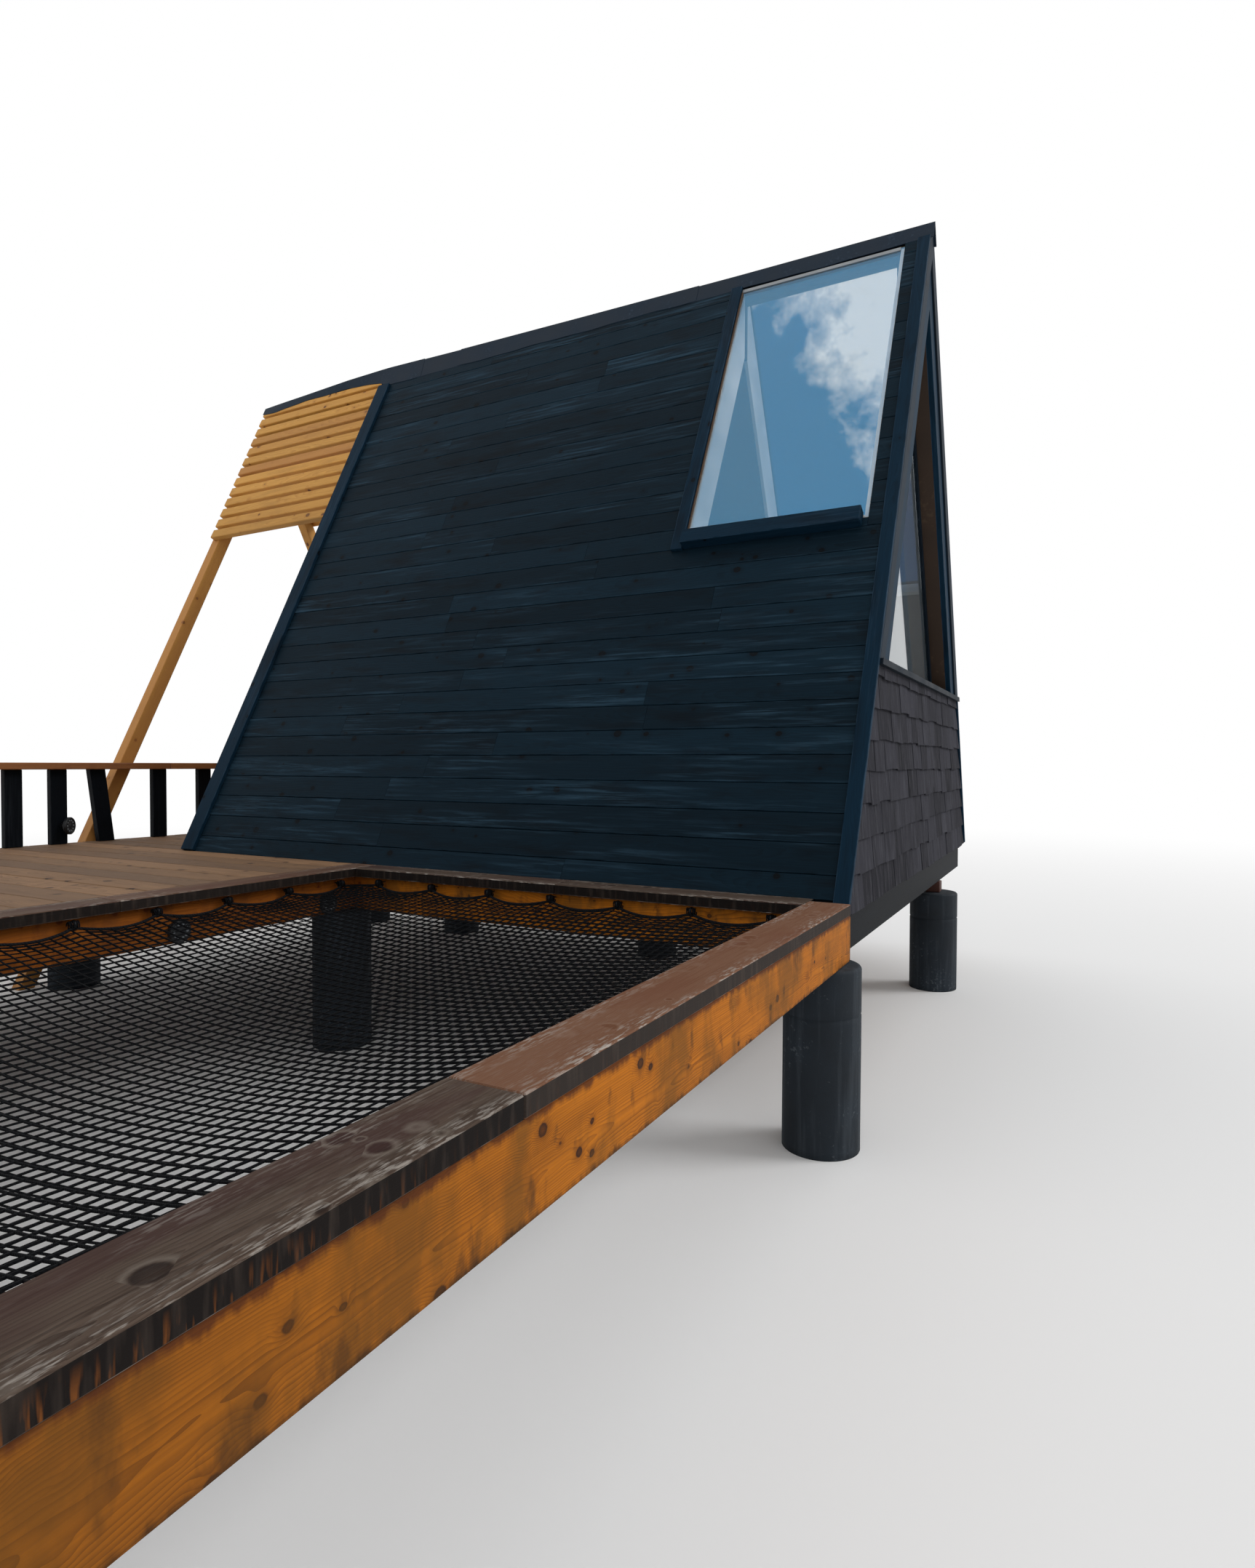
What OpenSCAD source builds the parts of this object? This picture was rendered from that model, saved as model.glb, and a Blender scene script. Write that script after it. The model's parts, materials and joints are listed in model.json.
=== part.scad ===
// A-frame cabin on round piers, with a slatted porch, a low deck and a net hammock bay.
// X runs along the ridge towards the shingled gable, Y across it, Z up from the lowest ground.
// All sizes are in millimetres. Lengths inside the modules are counted from the gable face (x = 0)
// and from the ridge line (y = 0), and the whole is then moved so that its footprint is centred.

/* [Ground and deck] */
// Height of the deck above the lowest ground
deck_h = 790; // [500:10:1200]
// Thickness of the deck boards and of the caps round the net
deck_board_t = 38; // [25:1:50]
// Depth of the beams under the deck and round the net
beam_d = 152; // [120:1:240]
// Thickness of those beams
beam_t = 89; // [60:1:120]
// Width of the cap boards
cap_w = 140; // [100:5:200]

/* [Cabin] */
// Slope of the two sides, in degrees from level
slope = 64; // [55:1:68]
// Half the width over the siding, at deck level
half_base = 1496; // [1200:1:1800]
// Length of the cabin along the ridge
cabin_len = 3520; // [3000:10:4500]
// Thickness of the siding boards
siding_t = 19; // [12:1:25]
// Depth of the framed panel behind the siding
panel_t = 140; // [90:1:190]
// Thickness of the inner lining
lining_t = 19; // [9:1:25]
// Thickness of the trims, casings and rake boards
trim_t = 19; // [15:1:25]
// Depth of the floor joists
joist_d = 184; // [140:1:240]
// Thickness of the floor boards
floor_t = 19; // [15:1:30]

/* [Gable] */
// Height of the gable sill above the deck
sill_h = 865; // [700:5:1000]
// Thickness of the shingled skin and its battens
shingle_t = 37; // [20:1:45]
// How far the gable glass stands back from the gable face
gable_recess = 110; // [80:5:140]
// Width of the window frame members
frame_w = 40; // [30:1:60]

/* [Skylight] */
// Edge of the skylight glass nearest the gable, from the gable face
sky_x1 = 138; // [120:1:400]
// Width of the glass along the ridge
sky_w = 807; // [500:1:1200]
// Distance of its lower edge up the slope, from deck level
sky_s0 = 1675; // [1200:5:2000]
// Length of the glass up the slope
sky_len = 1605; // [1000:5:1650]

/* [Porch] */
// Length of the slatted porch roof
porch_len = 1180; // [800:10:1500]
// Section of the porch legs
leg = 76; // [70:1:120]
// Width of a slat
slat_w = 66; // [40:1:80]
// Thickness of a slat
slat_t = 38; // [25:1:45]
// Pitch of the slats up the slope
slat_pitch = 93; // [80:1:120]
// Slats on the side with the net
near_slats = 13; // [4:1:13]
// Slats on the other side
far_slats = 9; // [4:1:13]

/* [Net bay] */
// Width of the net opening along the ridge
net_w = 2013; // [1500:10:2500]
// Length of the net opening
net_len = 3000; // [2000:10:3600]
// How deep the middle of the net hangs under its edge
net_sag = 90; // [20:5:150]
// Thickness of the net cords as modelled
cord_t = 12; // [8:1:20]

/* [Railing] */
// Height of the railing above the deck
rail_h = 460; // [400:10:1100]
// Pitch of the balusters
baluster_pitch = 285; // [200:5:400]

/* [Piers] */
// Diameter of the round piers
pier_d = 254; // [200:1:350]

/* [Hidden] */
$fn = 48;

// Heights
deck_z = deck_h;
beam_top = deck_z - deck_board_t;
beam_bottom = beam_top - beam_d;
floor_frame_bottom = beam_bottom;
floor_frame_top = floor_frame_bottom + joist_d;
floor_top = floor_frame_top + floor_t;
skin_bottom = deck_z - 50;
sill_z = deck_z + sill_h;
sill_t = 25;
block_h = 60;

// The sloping sides: depth is measured square to the siding, inwards
wall_t = siding_t + panel_t + lining_t;
ridge_board_t = 38;
function y_at(depth, z) = -half_base + (z - deck_z) / tan(slope) + depth / sin(slope);
function z_at(depth, y) = deck_z + (y + half_base - depth / sin(slope)) * tan(slope);
ridge_s = half_base / cos(slope);
ridge_z = z_at(0, 0);
ridge_board_top = z_at(slat_t, -ridge_board_t / 2);
ridge_board_bottom = z_at(wall_t, -ridge_board_t / 2);

// Stations along the ridge
rear_x = -cabin_len;
porch_x = rear_x - porch_len;
leg_lean = 0.0456;
function leg_left(z) = porch_x + (ridge_z - z) * leg_lean;
deck_left = porch_x + 230;
rear_wall_x = rear_x + 120;
rear_wall_t = 114;
glass_t = 10;

// The net bay
beam_out = 10;
net_right = beam_out - cap_w;
net_left = net_right - net_w;
cap_over = cap_w - beam_t;
bay_left = net_left - cap_w;
net_back = -half_base - 134;
net_front = net_back - net_len;
bay_back = net_back + cap_w;
bay_front = net_front - cap_w;
cap_end = -half_base - 49;
girder_back = bay_back;
girder_front = bay_back - beam_t;

// The deck frame
rim_t = 38;
deck_joist_x = [for (i = [0:5]) deck_left + 90 + 400 * i];
porch_joists = 3;
floor_near = bay_back;
floor_far = -y_at(siding_t, floor_frame_top);

// Piers
near_pier_y = -half_base - 119;
far_pier_y = 687;
front_pier_y = bay_front + pier_d / 2 + 4;
right_pier_x = -65;
mid_pier_x = bay_left + beam_t / 2;
left_pier_x = deck_left + 150;
far_pier_x = [right_pier_x, -1800, rear_x + 90, left_pier_x];

// Trims
corner_trim_w = 57;
rear_trim_w = 94;
casing_w = 58;
flashing_leg = 100;
flashing_t = 3;
trim_top = ridge_s - flashing_leg;

// The door
door_w = 740;
door_h = 1740;
door_t = 44;
jamb_t = 30;

// The footprint, for the origin
x_max = 12;
x_min = porch_x;
y_min = bay_front;
leg_depth = slat_t;
y_max = -y_at(leg_depth, 0);
mid_x = (x_max + x_min) / 2;
mid_y = (y_max + y_min) / 2;

pine = "#b9793a";
dark_stain = "#1d2a36";
black_paint = "#17191c";
pale = "#c9ccd0";

// Moves everything from the ridge and gable lines to the centred footprint
module placed() {
    translate([-mid_x, -mid_y, 0]) children();
}

// Extrudes a section drawn in Y and Z along the ridge
module along_ridge(x0, x1) {
    translate([x0, 0, 0]) rotate([90, 0, 90]) linear_extrude(x1 - x0) children();
}

// Works in the plane of a side: x along the ridge, y up the slope from deck level, z outwards
module on_side(far) {
    if (far) mirror([0, 1, 0]) on_side(false) children();
    else translate([0, -half_base, deck_z]) rotate([slope, 0, 0]) children();
}

// A near side layer between two depths, from a level bottom to an upright cut near the ridge
module layer(d0, d1, bottom, top_y) {
    polygon([
        [y_at(d0, bottom), bottom],
        [y_at(d1, bottom), bottom],
        [top_y, z_at(d1, top_y)],
        [top_y, z_at(d0, top_y)]
    ]);
}

module box(low, high) {
    translate(low) cube(high - low);
}

// The hole of a skylight, wider than the glass by the liner
liner_t = 19;
module skylight_hole(far) {
    on_side(far)
        box([-sky_x1 - sky_w - liner_t, sky_s0 - liner_t, -400],
            [-sky_x1 + liner_t, sky_s0 + sky_len + liner_t, 50]);
}

// One layer of a side, with the skylight cut through it
module side_layer(far, d0, d1, x0, x1, bottom, top_y) {
    difference() {
        mirror([0, far ? 1 : 0, 0]) along_ridge(x0, x1) layer(d0, d1, bottom, top_y);
        skylight_hole(far);
    }
}

module pier(height) {
    edge = 10;
    rotate_extrude()
        polygon([[0, 0], [pier_d / 2, 0], [pier_d / 2, height - edge],
                 [pier_d / 2 - edge, height], [0, height]]);
}

module near_piers() {
    color(black_paint) placed()
        for (x = [right_pier_x, mid_pier_x, left_pier_x])
            translate([x, near_pier_y, 0]) pier(beam_bottom);
}

module far_piers() {
    color(black_paint) placed()
        for (x = far_pier_x)
            translate([x, far_pier_y, 0]) pier(beam_bottom - block_h);
}

module front_piers() {
    color(black_paint) placed()
        for (x = [right_pier_x, mid_pier_x, left_pier_x])
            translate([x, front_pier_y, 0]) pier(beam_bottom);
}

module pier_blocks() {
    color("#6b3524") placed()
        for (x = far_pier_x)
            translate([x - leg / 2, far_pier_y - leg / 2, beam_bottom - block_h])
                cube([leg, leg, block_h]);
}

module near_girder() {
    color(pine) placed()
        box([deck_left + rim_t, girder_front, beam_bottom], [beam_out - beam_t, girder_back, beam_top]);
}

// Rims, joists and a flush girder over the far piers
module floor_frame() {
    color(black_paint) placed() {
        x0 = rear_x;
        x1 = -shingle_t;
        z0 = floor_frame_bottom;
        z1 = floor_frame_top;
        difference() {
            box([x0, floor_near, z0], [x1, floor_far, z1]);
            box([x0 + rim_t, floor_near + rim_t, z0 - 1], [x1 - rim_t, floor_far - rim_t, z1 + 1]);
        }
        for (x = [x0 + 400:400:x1 - 300])
            box([x, floor_near + rim_t, z0], [x + rim_t, floor_far - rim_t, z1]);
        box([x0 + rim_t, far_pier_y - beam_t / 2, z0], [x1 - rim_t, far_pier_y + beam_t / 2, z1]);
    }
}

module floor_boards() {
    color("#a5763f") placed()
        along_ridge(rear_x, -shingle_t)
            polygon([
                [y_at(siding_t, floor_frame_top), floor_frame_top],
                [-y_at(siding_t, floor_frame_top), floor_frame_top],
                [-y_at(siding_t, floor_top), floor_top],
                [y_at(siding_t, floor_top), floor_top]
            ]);
}

module near_siding() {
    color(dark_stain) placed()
        side_layer(false, 0, siding_t, rear_x, -shingle_t, deck_z, 0);
}

module far_siding() {
    color(dark_stain) placed()
        side_layer(true, 0, siding_t, rear_x, -shingle_t, skin_bottom, 0);
}

module near_panel() {
    color("#7d6a4c") placed()
        side_layer(false, siding_t, siding_t + panel_t, rear_x + trim_t, -shingle_t, floor_top, -ridge_board_t / 2);
}

module far_panel() {
    color("#7d6a4c") placed()
        side_layer(true, siding_t, siding_t + panel_t, rear_x + trim_t, -shingle_t, floor_top, -ridge_board_t / 2);
}

module near_lining() {
    color("#5a4330") placed()
        side_layer(false, siding_t + panel_t, wall_t, rear_x + trim_t, -shingle_t, floor_top, -ridge_board_t / 2);
}

module far_lining() {
    color("#5a4330") placed()
        side_layer(true, siding_t + panel_t, wall_t, rear_x + trim_t, -shingle_t, floor_top, -ridge_board_t / 2);
}

// The ridge board is deep between the rafters and shallow where the two skylights face each other
module ridge_board() {
    shallow = 34;
    color(dark_stain) placed()
        difference() {
            box([porch_x + 12, -ridge_board_t / 2, ridge_board_bottom], [-shingle_t, ridge_board_t / 2, ridge_board_top]);
            box([-sky_x1 - sky_w, -ridge_board_t, ridge_board_bottom - 1],
                [-gable_recess - frame_w - 10, ridge_board_t, ridge_board_top - shallow]);
        }
}

// One folded sheet over the ridge. Over the trims it rides high, and over the porch it is cut back.
// Each station: place along the ridge, rise of the fold, distance of the edge down the slope
flashing_line = [
    [x_max, 3, flashing_leg], [-1000, 8, flashing_leg], [-1950, 20, flashing_leg],
    [-2900, 34, flashing_leg], [rear_x + 60, 46, flashing_leg], [rear_x - 10, 46, 62],
    [-3860, 40, 22], [-4260, 22, 30], [-4560, 10, 62], [porch_x, 3, 50]
];
function flashing_section(rise, edge) = [
    [0, ridge_z + rise + flashing_t / cos(slope)],
    [-edge * cos(slope) - flashing_t * sin(slope), ridge_z - edge * sin(slope) + flashing_t * cos(slope)],
    [-edge * cos(slope), ridge_z - edge * sin(slope)],
    [0, ridge_z + rise],
    [edge * cos(slope), ridge_z - edge * sin(slope)],
    [edge * cos(slope) + flashing_t * sin(slope), ridge_z - edge * sin(slope) + flashing_t * cos(slope)]
];
flashing_points = [
    for (st = flashing_line) for (p = flashing_section(st[1], st[2])) [st[0], p[0], p[1]]
];
flashing_end = 6 * (len(flashing_line) - 1);
flashing_faces = concat(
    [[0, 1, 2], [0, 2, 3], [0, 3, 4], [0, 4, 5]],
    [for (f = [[0, 2, 1], [0, 3, 2], [0, 4, 3], [0, 5, 4]]) [for (v = f) v + flashing_end]],
    [for (k = [0:len(flashing_line) - 2]) for (c = [0:5])
        each quad(6 * k + c, 6 * k + 6 + c, 6 * k + 6 + (c + 1) % 6, 6 * k + (c + 1) % 6)]
);

module ridge_flashing() {
    color("#2b3b4c") placed() polyhedron(flashing_points, flashing_faces);
}

// Upright trims at both ends of a side, lying on the siding
module side_trims(far) {
    gable_bottom = (skin_bottom + 12 - deck_z) / sin(slope);
    rear_bottom = far ? gable_bottom : 0;
    on_side(far) box([-corner_trim_w, gable_bottom, 0], [0, trim_top, trim_t]);
    on_side(far) box([rear_x, rear_bottom, 0], [rear_x + rear_trim_w, trim_top, trim_t]);
}

module corner_trims() {
    gable_strip = corner_trim_w + 1;
    color(dark_stain) placed() {
        intersection() {
            side_trims(false);
            union() {
                box([rear_x - 1, -2 * half_base, deck_z], [-gable_strip, 0, ridge_z]);
                box([-gable_strip, -2 * half_base, skin_bottom + 12], [1, 0, ridge_z]);
            }
        }
        side_trims(true);
    }
}

// Boards that close the end of a side: two steps at the gable, one at the porch
module rake(far) {
    step = 73;
    set_back = 10;
    mirror([0, far ? 1 : 0, 0]) {
        along_ridge(-shingle_t, 0) layer(0, step, sill_z, 0);
        along_ridge(-shingle_t, -set_back) layer(step, wall_t, sill_z, 0);
        along_ridge(rear_x, rear_x + trim_t) layer(siding_t, wall_t, floor_top, -ridge_board_t / 2);
    }
}

module rake_boards() {
    color(dark_stain) placed() {
        rake(false);
        rake(true);
    }
}

module gable_shingles() {
    top = sill_z - sill_t;
    color("#39373a") placed()
        along_ridge(-shingle_t, 0)
            polygon([
                [y_at(0, skin_bottom), skin_bottom],
                [-y_at(0, skin_bottom), skin_bottom],
                [-y_at(0, top), top],
                [y_at(0, top), top]
            ]);
}

module gable_wall() {
    top = sill_z - sill_t;
    color("#7d6a4c") placed()
        along_ridge(-shingle_t - panel_t, -shingle_t)
            polygon([
                [y_at(wall_t, floor_top), floor_top],
                [-y_at(wall_t, floor_top), floor_top],
                [-y_at(wall_t, top), top],
                [y_at(wall_t, top), top]
            ]);
}

// The sill covers the shingles over the full width and runs back under the glass
module gable_sill() {
    z0 = sill_z - sill_t;
    color(dark_stain) placed() {
        along_ridge(-shingle_t, x_max)
            polygon([[y_at(0, z0), z0], [-y_at(0, z0), z0], [-y_at(0, sill_z), sill_z], [y_at(0, sill_z), sill_z]]);
        along_ridge(-shingle_t - panel_t, -shingle_t)
            polygon([[y_at(wall_t, z0), z0], [-y_at(wall_t, z0), z0],
                     [-y_at(wall_t, sill_z), sill_z], [y_at(wall_t, sill_z), sill_z]]);
    }
}

// Outline of a glazed triangle inside the lining
module gable_triangle(inset, bottom, top) {
    polygon([
        [y_at(wall_t + inset, bottom), bottom],
        [-y_at(wall_t + inset, bottom), bottom],
        [-y_at(wall_t + inset, top), top],
        [y_at(wall_t + inset, top), top]
    ]);
}

frame_top = ridge_board_bottom;
pane_top = z_at(wall_t + frame_w, 0) - 2;

module gable_frame() {
    x1 = -gable_recess;
    color(dark_stain) placed()
        along_ridge(x1 - frame_w, x1)
            difference() {
                gable_triangle(0, sill_z, frame_top);
                gable_triangle(frame_w, sill_z + frame_w, pane_top);
            }
}

module gable_glass() {
    x1 = -gable_recess - (frame_w - glass_t) / 2;
    color("#6f93a8", 0.4) placed()
        along_ridge(x1 - glass_t, x1) gable_triangle(frame_w, sill_z + frame_w, pane_top);
}

// Boards round the skylight hole, from under the glass to the lining
glass_seat = 12;
module skylight_liners() {
    color(pale) placed() {
        near_liner();
        mirror([0, 1, 0]) near_liner();
    }
}

module near_liner() {
    x0 = -sky_x1 - sky_w - liner_t;
    x1 = -sky_x1 + liner_t;
    s0 = sky_s0 - liner_t;
    s1 = sky_s0 + sky_len + liner_t;
    difference() {
        on_side(false) box([x0, s0, -wall_t], [x1, s1, -glass_seat]);
        on_side(false) box([x0 + liner_t, s0 + liner_t, -2 * wall_t], [x1 - liner_t, s1 + 1, 1]);
        box([x0 - 1, -ridge_board_t / 2, deck_z], [x1 + 1, half_base, 2 * ridge_z]);
    }
}

// The casing stands beside the skylight and runs on under the ridge flashing
module skylight_casings() {
    x1 = -sky_x1 - sky_w - 2;
    low = sky_s0 - 80;
    color(dark_stain) placed()
        for (far = [false, true])
            on_side(far) box([x1 - casing_w, low, 0], [x1, trim_top, trim_t]);
}

module skylight_sills() {
    sill_w = 73;
    sill_out = 55;
    color(dark_stain) placed()
        for (far = [false, true])
            on_side(far) box([-sky_x1 - sky_w - 1, sky_s0 - sill_w, 0], [-sky_x1 - 2, sky_s0, sill_out]);
}

module skylight_glass() {
    color("#6f93a8", 0.4) placed()
        for (far = [false, true])
            on_side(far)
                box([-sky_x1 - sky_w - liner_t, sky_s0 - liner_t, -glass_seat],
                    [-sky_x1 + liner_t, sky_s0 + sky_len + liner_t, -2]);
}

// The end wall under the porch, beside the door
door_half = door_w / 2 + jamb_t;
head_z = floor_top + door_h + jamb_t;
module rear_walls() {
    color("#39373a") placed()
        for (far = [0, 1])
            mirror([0, far, 0])
                along_ridge(rear_wall_x, rear_wall_x + rear_wall_t)
                    polygon([
                        [y_at(wall_t, floor_top), floor_top],
                        [-door_half, floor_top],
                        [-door_half, head_z],
                        [y_at(wall_t, head_z), head_z]
                    ]);
}

module door_frame() {
    color(pine) placed()
        along_ridge(rear_wall_x, rear_wall_x + rear_wall_t)
            difference() {
                polygon([[-door_half, floor_top], [door_half, floor_top],
                         [door_half, head_z], [-door_half, head_z]]);
                polygon([[-door_w / 2, floor_top - 1], [door_w / 2, floor_top - 1],
                         [door_w / 2, head_z - jamb_t], [-door_w / 2, head_z - jamb_t]]);
            }
}

// The closed door stands on the floor, with a lever on the porch face
module door() {
    gap = 3;
    x0 = rear_wall_x + 20;
    lever_z = floor_top + 950;
    lever_y = door_w / 2 - 65;
    color("#8a5a2c") placed() {
        box([x0, -door_w / 2 + gap, floor_top], [x0 + door_t, door_w / 2 - gap, head_z - jamb_t - gap]);
        translate([x0, lever_y, lever_z]) rotate([0, -90, 0]) cylinder(d = 50, h = 8);
        translate([x0, lever_y, lever_z]) rotate([0, -90, 0]) cylinder(d = 20, h = 50);
        translate([x0 - 40, lever_y - 110, lever_z]) rotate([-90, 0, 0]) cylinder(d = 18, h = 120);
    }
}

module transom_frame() {
    x0 = rear_wall_x + 30;
    color(dark_stain) placed()
        along_ridge(x0, x0 + frame_w)
            difference() {
                gable_triangle(0, head_z, frame_top);
                gable_triangle(frame_w, head_z + frame_w, pane_top);
            }
}

module transom_glass() {
    x0 = rear_wall_x + 30 + (frame_w - glass_t) / 2;
    color("#6f93a8", 0.4) placed()
        along_ridge(x0, x0 + glass_t) gable_triangle(frame_w, head_z + frame_w, pane_top);
}

slat_s0 = ridge_s - flashing_leg - 6 - 11 * slat_pitch - slat_w + 12;

// Short rafters against the cabin that carry the inner ends of the slats
module porch_rafters() {
    rafter_t = 38;
    color(pine) placed()
        for (far = [0, 1])
            mirror([0, far, 0])
                along_ridge(rear_x - rafter_t, rear_x)
                    layer(slat_t, slat_t + leg, deck_z + slat_s0 * sin(slope), -ridge_board_t / 2);
}

// The legs lean: the foot stands nearer the cabin than the top does
leg_section = [
    [y_at(leg_depth, 0), 0],
    [y_at(leg_depth + leg, 0), 0],
    [-ridge_board_t / 2, z_at(leg_depth + leg, -ridge_board_t / 2)],
    [-ridge_board_t / 2, z_at(leg_depth, -ridge_board_t / 2)]
];
module porch_leg() {
    polyhedron(
        [for (out = [0, leg]) for (p = leg_section) [leg_left(p[1]) + out, p[0], p[1]]],
        [[0, 1, 2, 3], [7, 6, 5, 4], [0, 4, 5, 1], [1, 5, 6, 2], [2, 6, 7, 3], [3, 7, 4, 0]]
    );
}

module near_leg() {
    color(pine) placed() porch_leg();
}

module far_leg() {
    color(pine) placed() mirror([0, 1, 0]) porch_leg();
}

// Slats are counted from the ridge down; each ends a little short of the one above.
// Those of the far side lie half a gap lower
slat_step = 6;
far_drop = 45;
module slats(far, count) {
    intersection() {
        for (i = [0:count - 1]) {
            s = slat_s0 + (12 - i) * slat_pitch - (far ? far_drop : 0);
            on_side(far) box([porch_x + i * slat_step, s, -slat_t], [rear_x, s + slat_w, 0]);
        }
        box([porch_x - 1, far ? 0 : -2 * half_base, 0], [rear_x + 1, far ? 2 * half_base : 0, 2 * ridge_z]);
    }
}

module near_slats() {
    color(pine) placed() slats(false, near_slats);
}

module far_slats() {
    color(pine) placed() slats(true, far_slats);
}

// Joists run across the ridge; a rim closes the porch side and both ends
module deck_frame() {
    z0 = beam_bottom;
    back = floor_far;
    color(pine) placed() {
        box([deck_left, bay_front, z0], [deck_left + rim_t, back, beam_top]);
        box([deck_left + rim_t, bay_front, z0], [bay_left, bay_front + rim_t, beam_top]);
        box([deck_left + rim_t, back - rim_t, z0], [rear_x, back, beam_top]);
        for (i = [0:5])
            box([deck_joist_x[i], bay_front + rim_t, z0], [deck_joist_x[i] + rim_t, girder_front, beam_top]);
        for (i = [0:porch_joists - 2])
            box([deck_joist_x[i], girder_back, z0], [deck_joist_x[i] + rim_t, back - rim_t, beam_top]);
    }
}

module deck_boards() {
    color("#8d6a4a") placed() {
        box([deck_left, bay_front, beam_top], [bay_left, bay_back, deck_z]);
        box([deck_left, bay_back, beam_top], [rear_x, floor_far, deck_z]);
    }
}

rail_x = deck_left + 45;
baluster_w = 89;
baluster_t = 38;
rail_cap_t = 38;
first_baluster = bay_front + 50;
baluster_count = floor((floor_far - 50 - first_baluster) / baluster_pitch);
// The ones by the cabin stand off the even pitch
baluster_slip = [[10, 0], [11, -53], [12, -72], [13, -25], [14, 0]];
leaning_baluster = 12;
baluster_lean = 7;
function baluster_y(i) = first_baluster + i * baluster_pitch + lookup(i, baluster_slip);

// Flat boards stand under the rail; one of them leans
module balusters() {
    low = [rail_x - baluster_t / 2, 0, deck_z];
    height = rail_h - rail_cap_t;
    color(black_paint) placed()
        for (i = [0:baluster_count])
            translate([0, baluster_y(i), 0])
                if (i == leaning_baluster)
                    intersection() {
                        translate(low) rotate([baluster_lean, 0, 0])
                            translate([0, -baluster_w / 2, -50]) cube([baluster_t, baluster_w, height + 100]);
                        translate(low - [1, height, 0]) cube([baluster_t + 2, 2 * height, height]);
                    }
                else translate(low - [0, baluster_w / 2, 0]) cube([baluster_t, baluster_w, height]);
}

module rail_cap() {
    color("#9a5a30") placed()
        box([rail_x - cap_w / 2, bay_front, deck_z + rail_h - rail_cap_t],
            [rail_x + cap_w / 2, floor_far, deck_z + rail_h]);
}

// Three beams of the net bay: the girder under the cabin edge closes the fourth side
module net_beams() {
    color("#c98a3a") placed() {
        box([beam_out - beam_t, bay_front, beam_bottom], [beam_out, cap_end, beam_top]);
        box([bay_left, bay_front, beam_bottom], [bay_left + beam_t, girder_front, beam_top]);
        box([bay_left + beam_t, bay_front, beam_bottom], [beam_out - beam_t, bay_front + beam_t, beam_top]);
    }
}

module net_caps() {
    color("#6a4a35") placed() {
        box([net_right, bay_front, beam_top], [beam_out, cap_end, deck_z]);
        box([bay_left, bay_front, beam_top], [net_left, bay_back, deck_z]);
        box([net_left, bay_front, beam_top], [net_right, net_front, deck_z]);
        box([net_left, net_back, beam_top], [net_right, bay_back, deck_z]);
    }
}

// The net: crossing cords that sag between the beams, as one open lattice
net_cells = [10, 15];
net_edge = 30;
net_z = beam_top - 70;
net_x0 = net_left - cap_over + net_edge;
net_x1 = net_right + cap_over - net_edge;
net_y0 = net_front - cap_over + net_edge;
net_y1 = net_back + cap_over - net_edge;
function net_height(x, y) =
    let (u = (x - net_x0) / (net_x1 - net_x0), v = (y - net_y0) / (net_y1 - net_y0))
    net_z - 16 * net_sag * u * (1 - u) * v * (1 - v);
function net_x(i) = net_x0 + cord_t / 2 + (net_x1 - net_x0 - cord_t) * i / net_cells[0];
function net_y(j) = net_y0 + cord_t / 2 + (net_y1 - net_y0 - cord_t) * j / net_cells[1];
function knot(i, j) = 8 * (i * (net_cells[1] + 1) + j);

// Each crossing has eight points: four corners on the upper face, then four on the lower one
net_points = [
    for (i = [0:net_cells[0]]) for (j = [0:net_cells[1]]) for (k = [0, 1])
        for (c = [[-1, -1], [1, -1], [1, 1], [-1, 1]])
            let (x = net_x(i) + c[0] * cord_t / 2, y = net_y(j) + c[1] * cord_t / 2)
            [x, y, net_height(net_x(i), net_y(j)) - k * cord_t]
];
function quad(a, b, c, d) = [[a, b, c], [a, c, d]];
function crossing_faces(i, j) =
    let (a = knot(i, j))
    concat(
        quad(a + 3, a + 2, a + 1, a),
        quad(a + 4, a + 5, a + 6, a + 7),
        i == 0 ? quad(a, a + 4, a + 7, a + 3) : [],
        i == net_cells[0] ? quad(a + 2, a + 6, a + 5, a + 1) : [],
        j == 0 ? quad(a + 1, a + 5, a + 4, a) : [],
        j == net_cells[1] ? quad(a + 3, a + 7, a + 6, a + 2) : []
    );
// A cord between two crossings, joining their facing edges p-q and r-s
function cord_faces(p, q, r, s) = concat(
    quad(p, q, s, r),
    quad(r + 4, s + 4, q + 4, p + 4),
    quad(q, q + 4, s + 4, s),
    quad(r, r + 4, p + 4, p)
);
net_faces = [
    for (i = [0:net_cells[0]]) for (j = [0:net_cells[1]])
        each concat(
            crossing_faces(i, j),
            i < net_cells[0] ? cord_faces(knot(i, j) + 1, knot(i, j) + 2, knot(i + 1, j), knot(i + 1, j) + 3) : [],
            j < net_cells[1] ? cord_faces(knot(i, j) + 2, knot(i, j) + 3, knot(i, j + 1) + 1, knot(i, j + 1)) : []
        )
];

module net() {
    color("#15161a") placed() polyhedron(net_points, net_faces);
}

// Screw eyes in the beams that the net is lashed to, counted in meshes from the cabin and the gable
eyes_along = [0.37:1.39:14.5];
eyes_across = [0.6:1.45:9.5];
eye_r = 14;
eye_wire = 6;
eye_out = net_edge + cord_t / 2;
eye_z = net_z - cord_t + sqrt(pow(eye_r - eye_wire / 2, 2) - pow(cord_t / 2, 2)) - 0.3;

// The ring goes round the edge cord of the net; the shank is screwed into the beam
module hook() {
    rotate([0, -90, 0]) cylinder(d = eye_wire, h = eye_out - eye_r);
    translate([-eye_out, 0, 0]) rotate([90, 0, 0]) rotate_extrude() translate([eye_r, 0]) circle(d = eye_wire);
}

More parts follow.
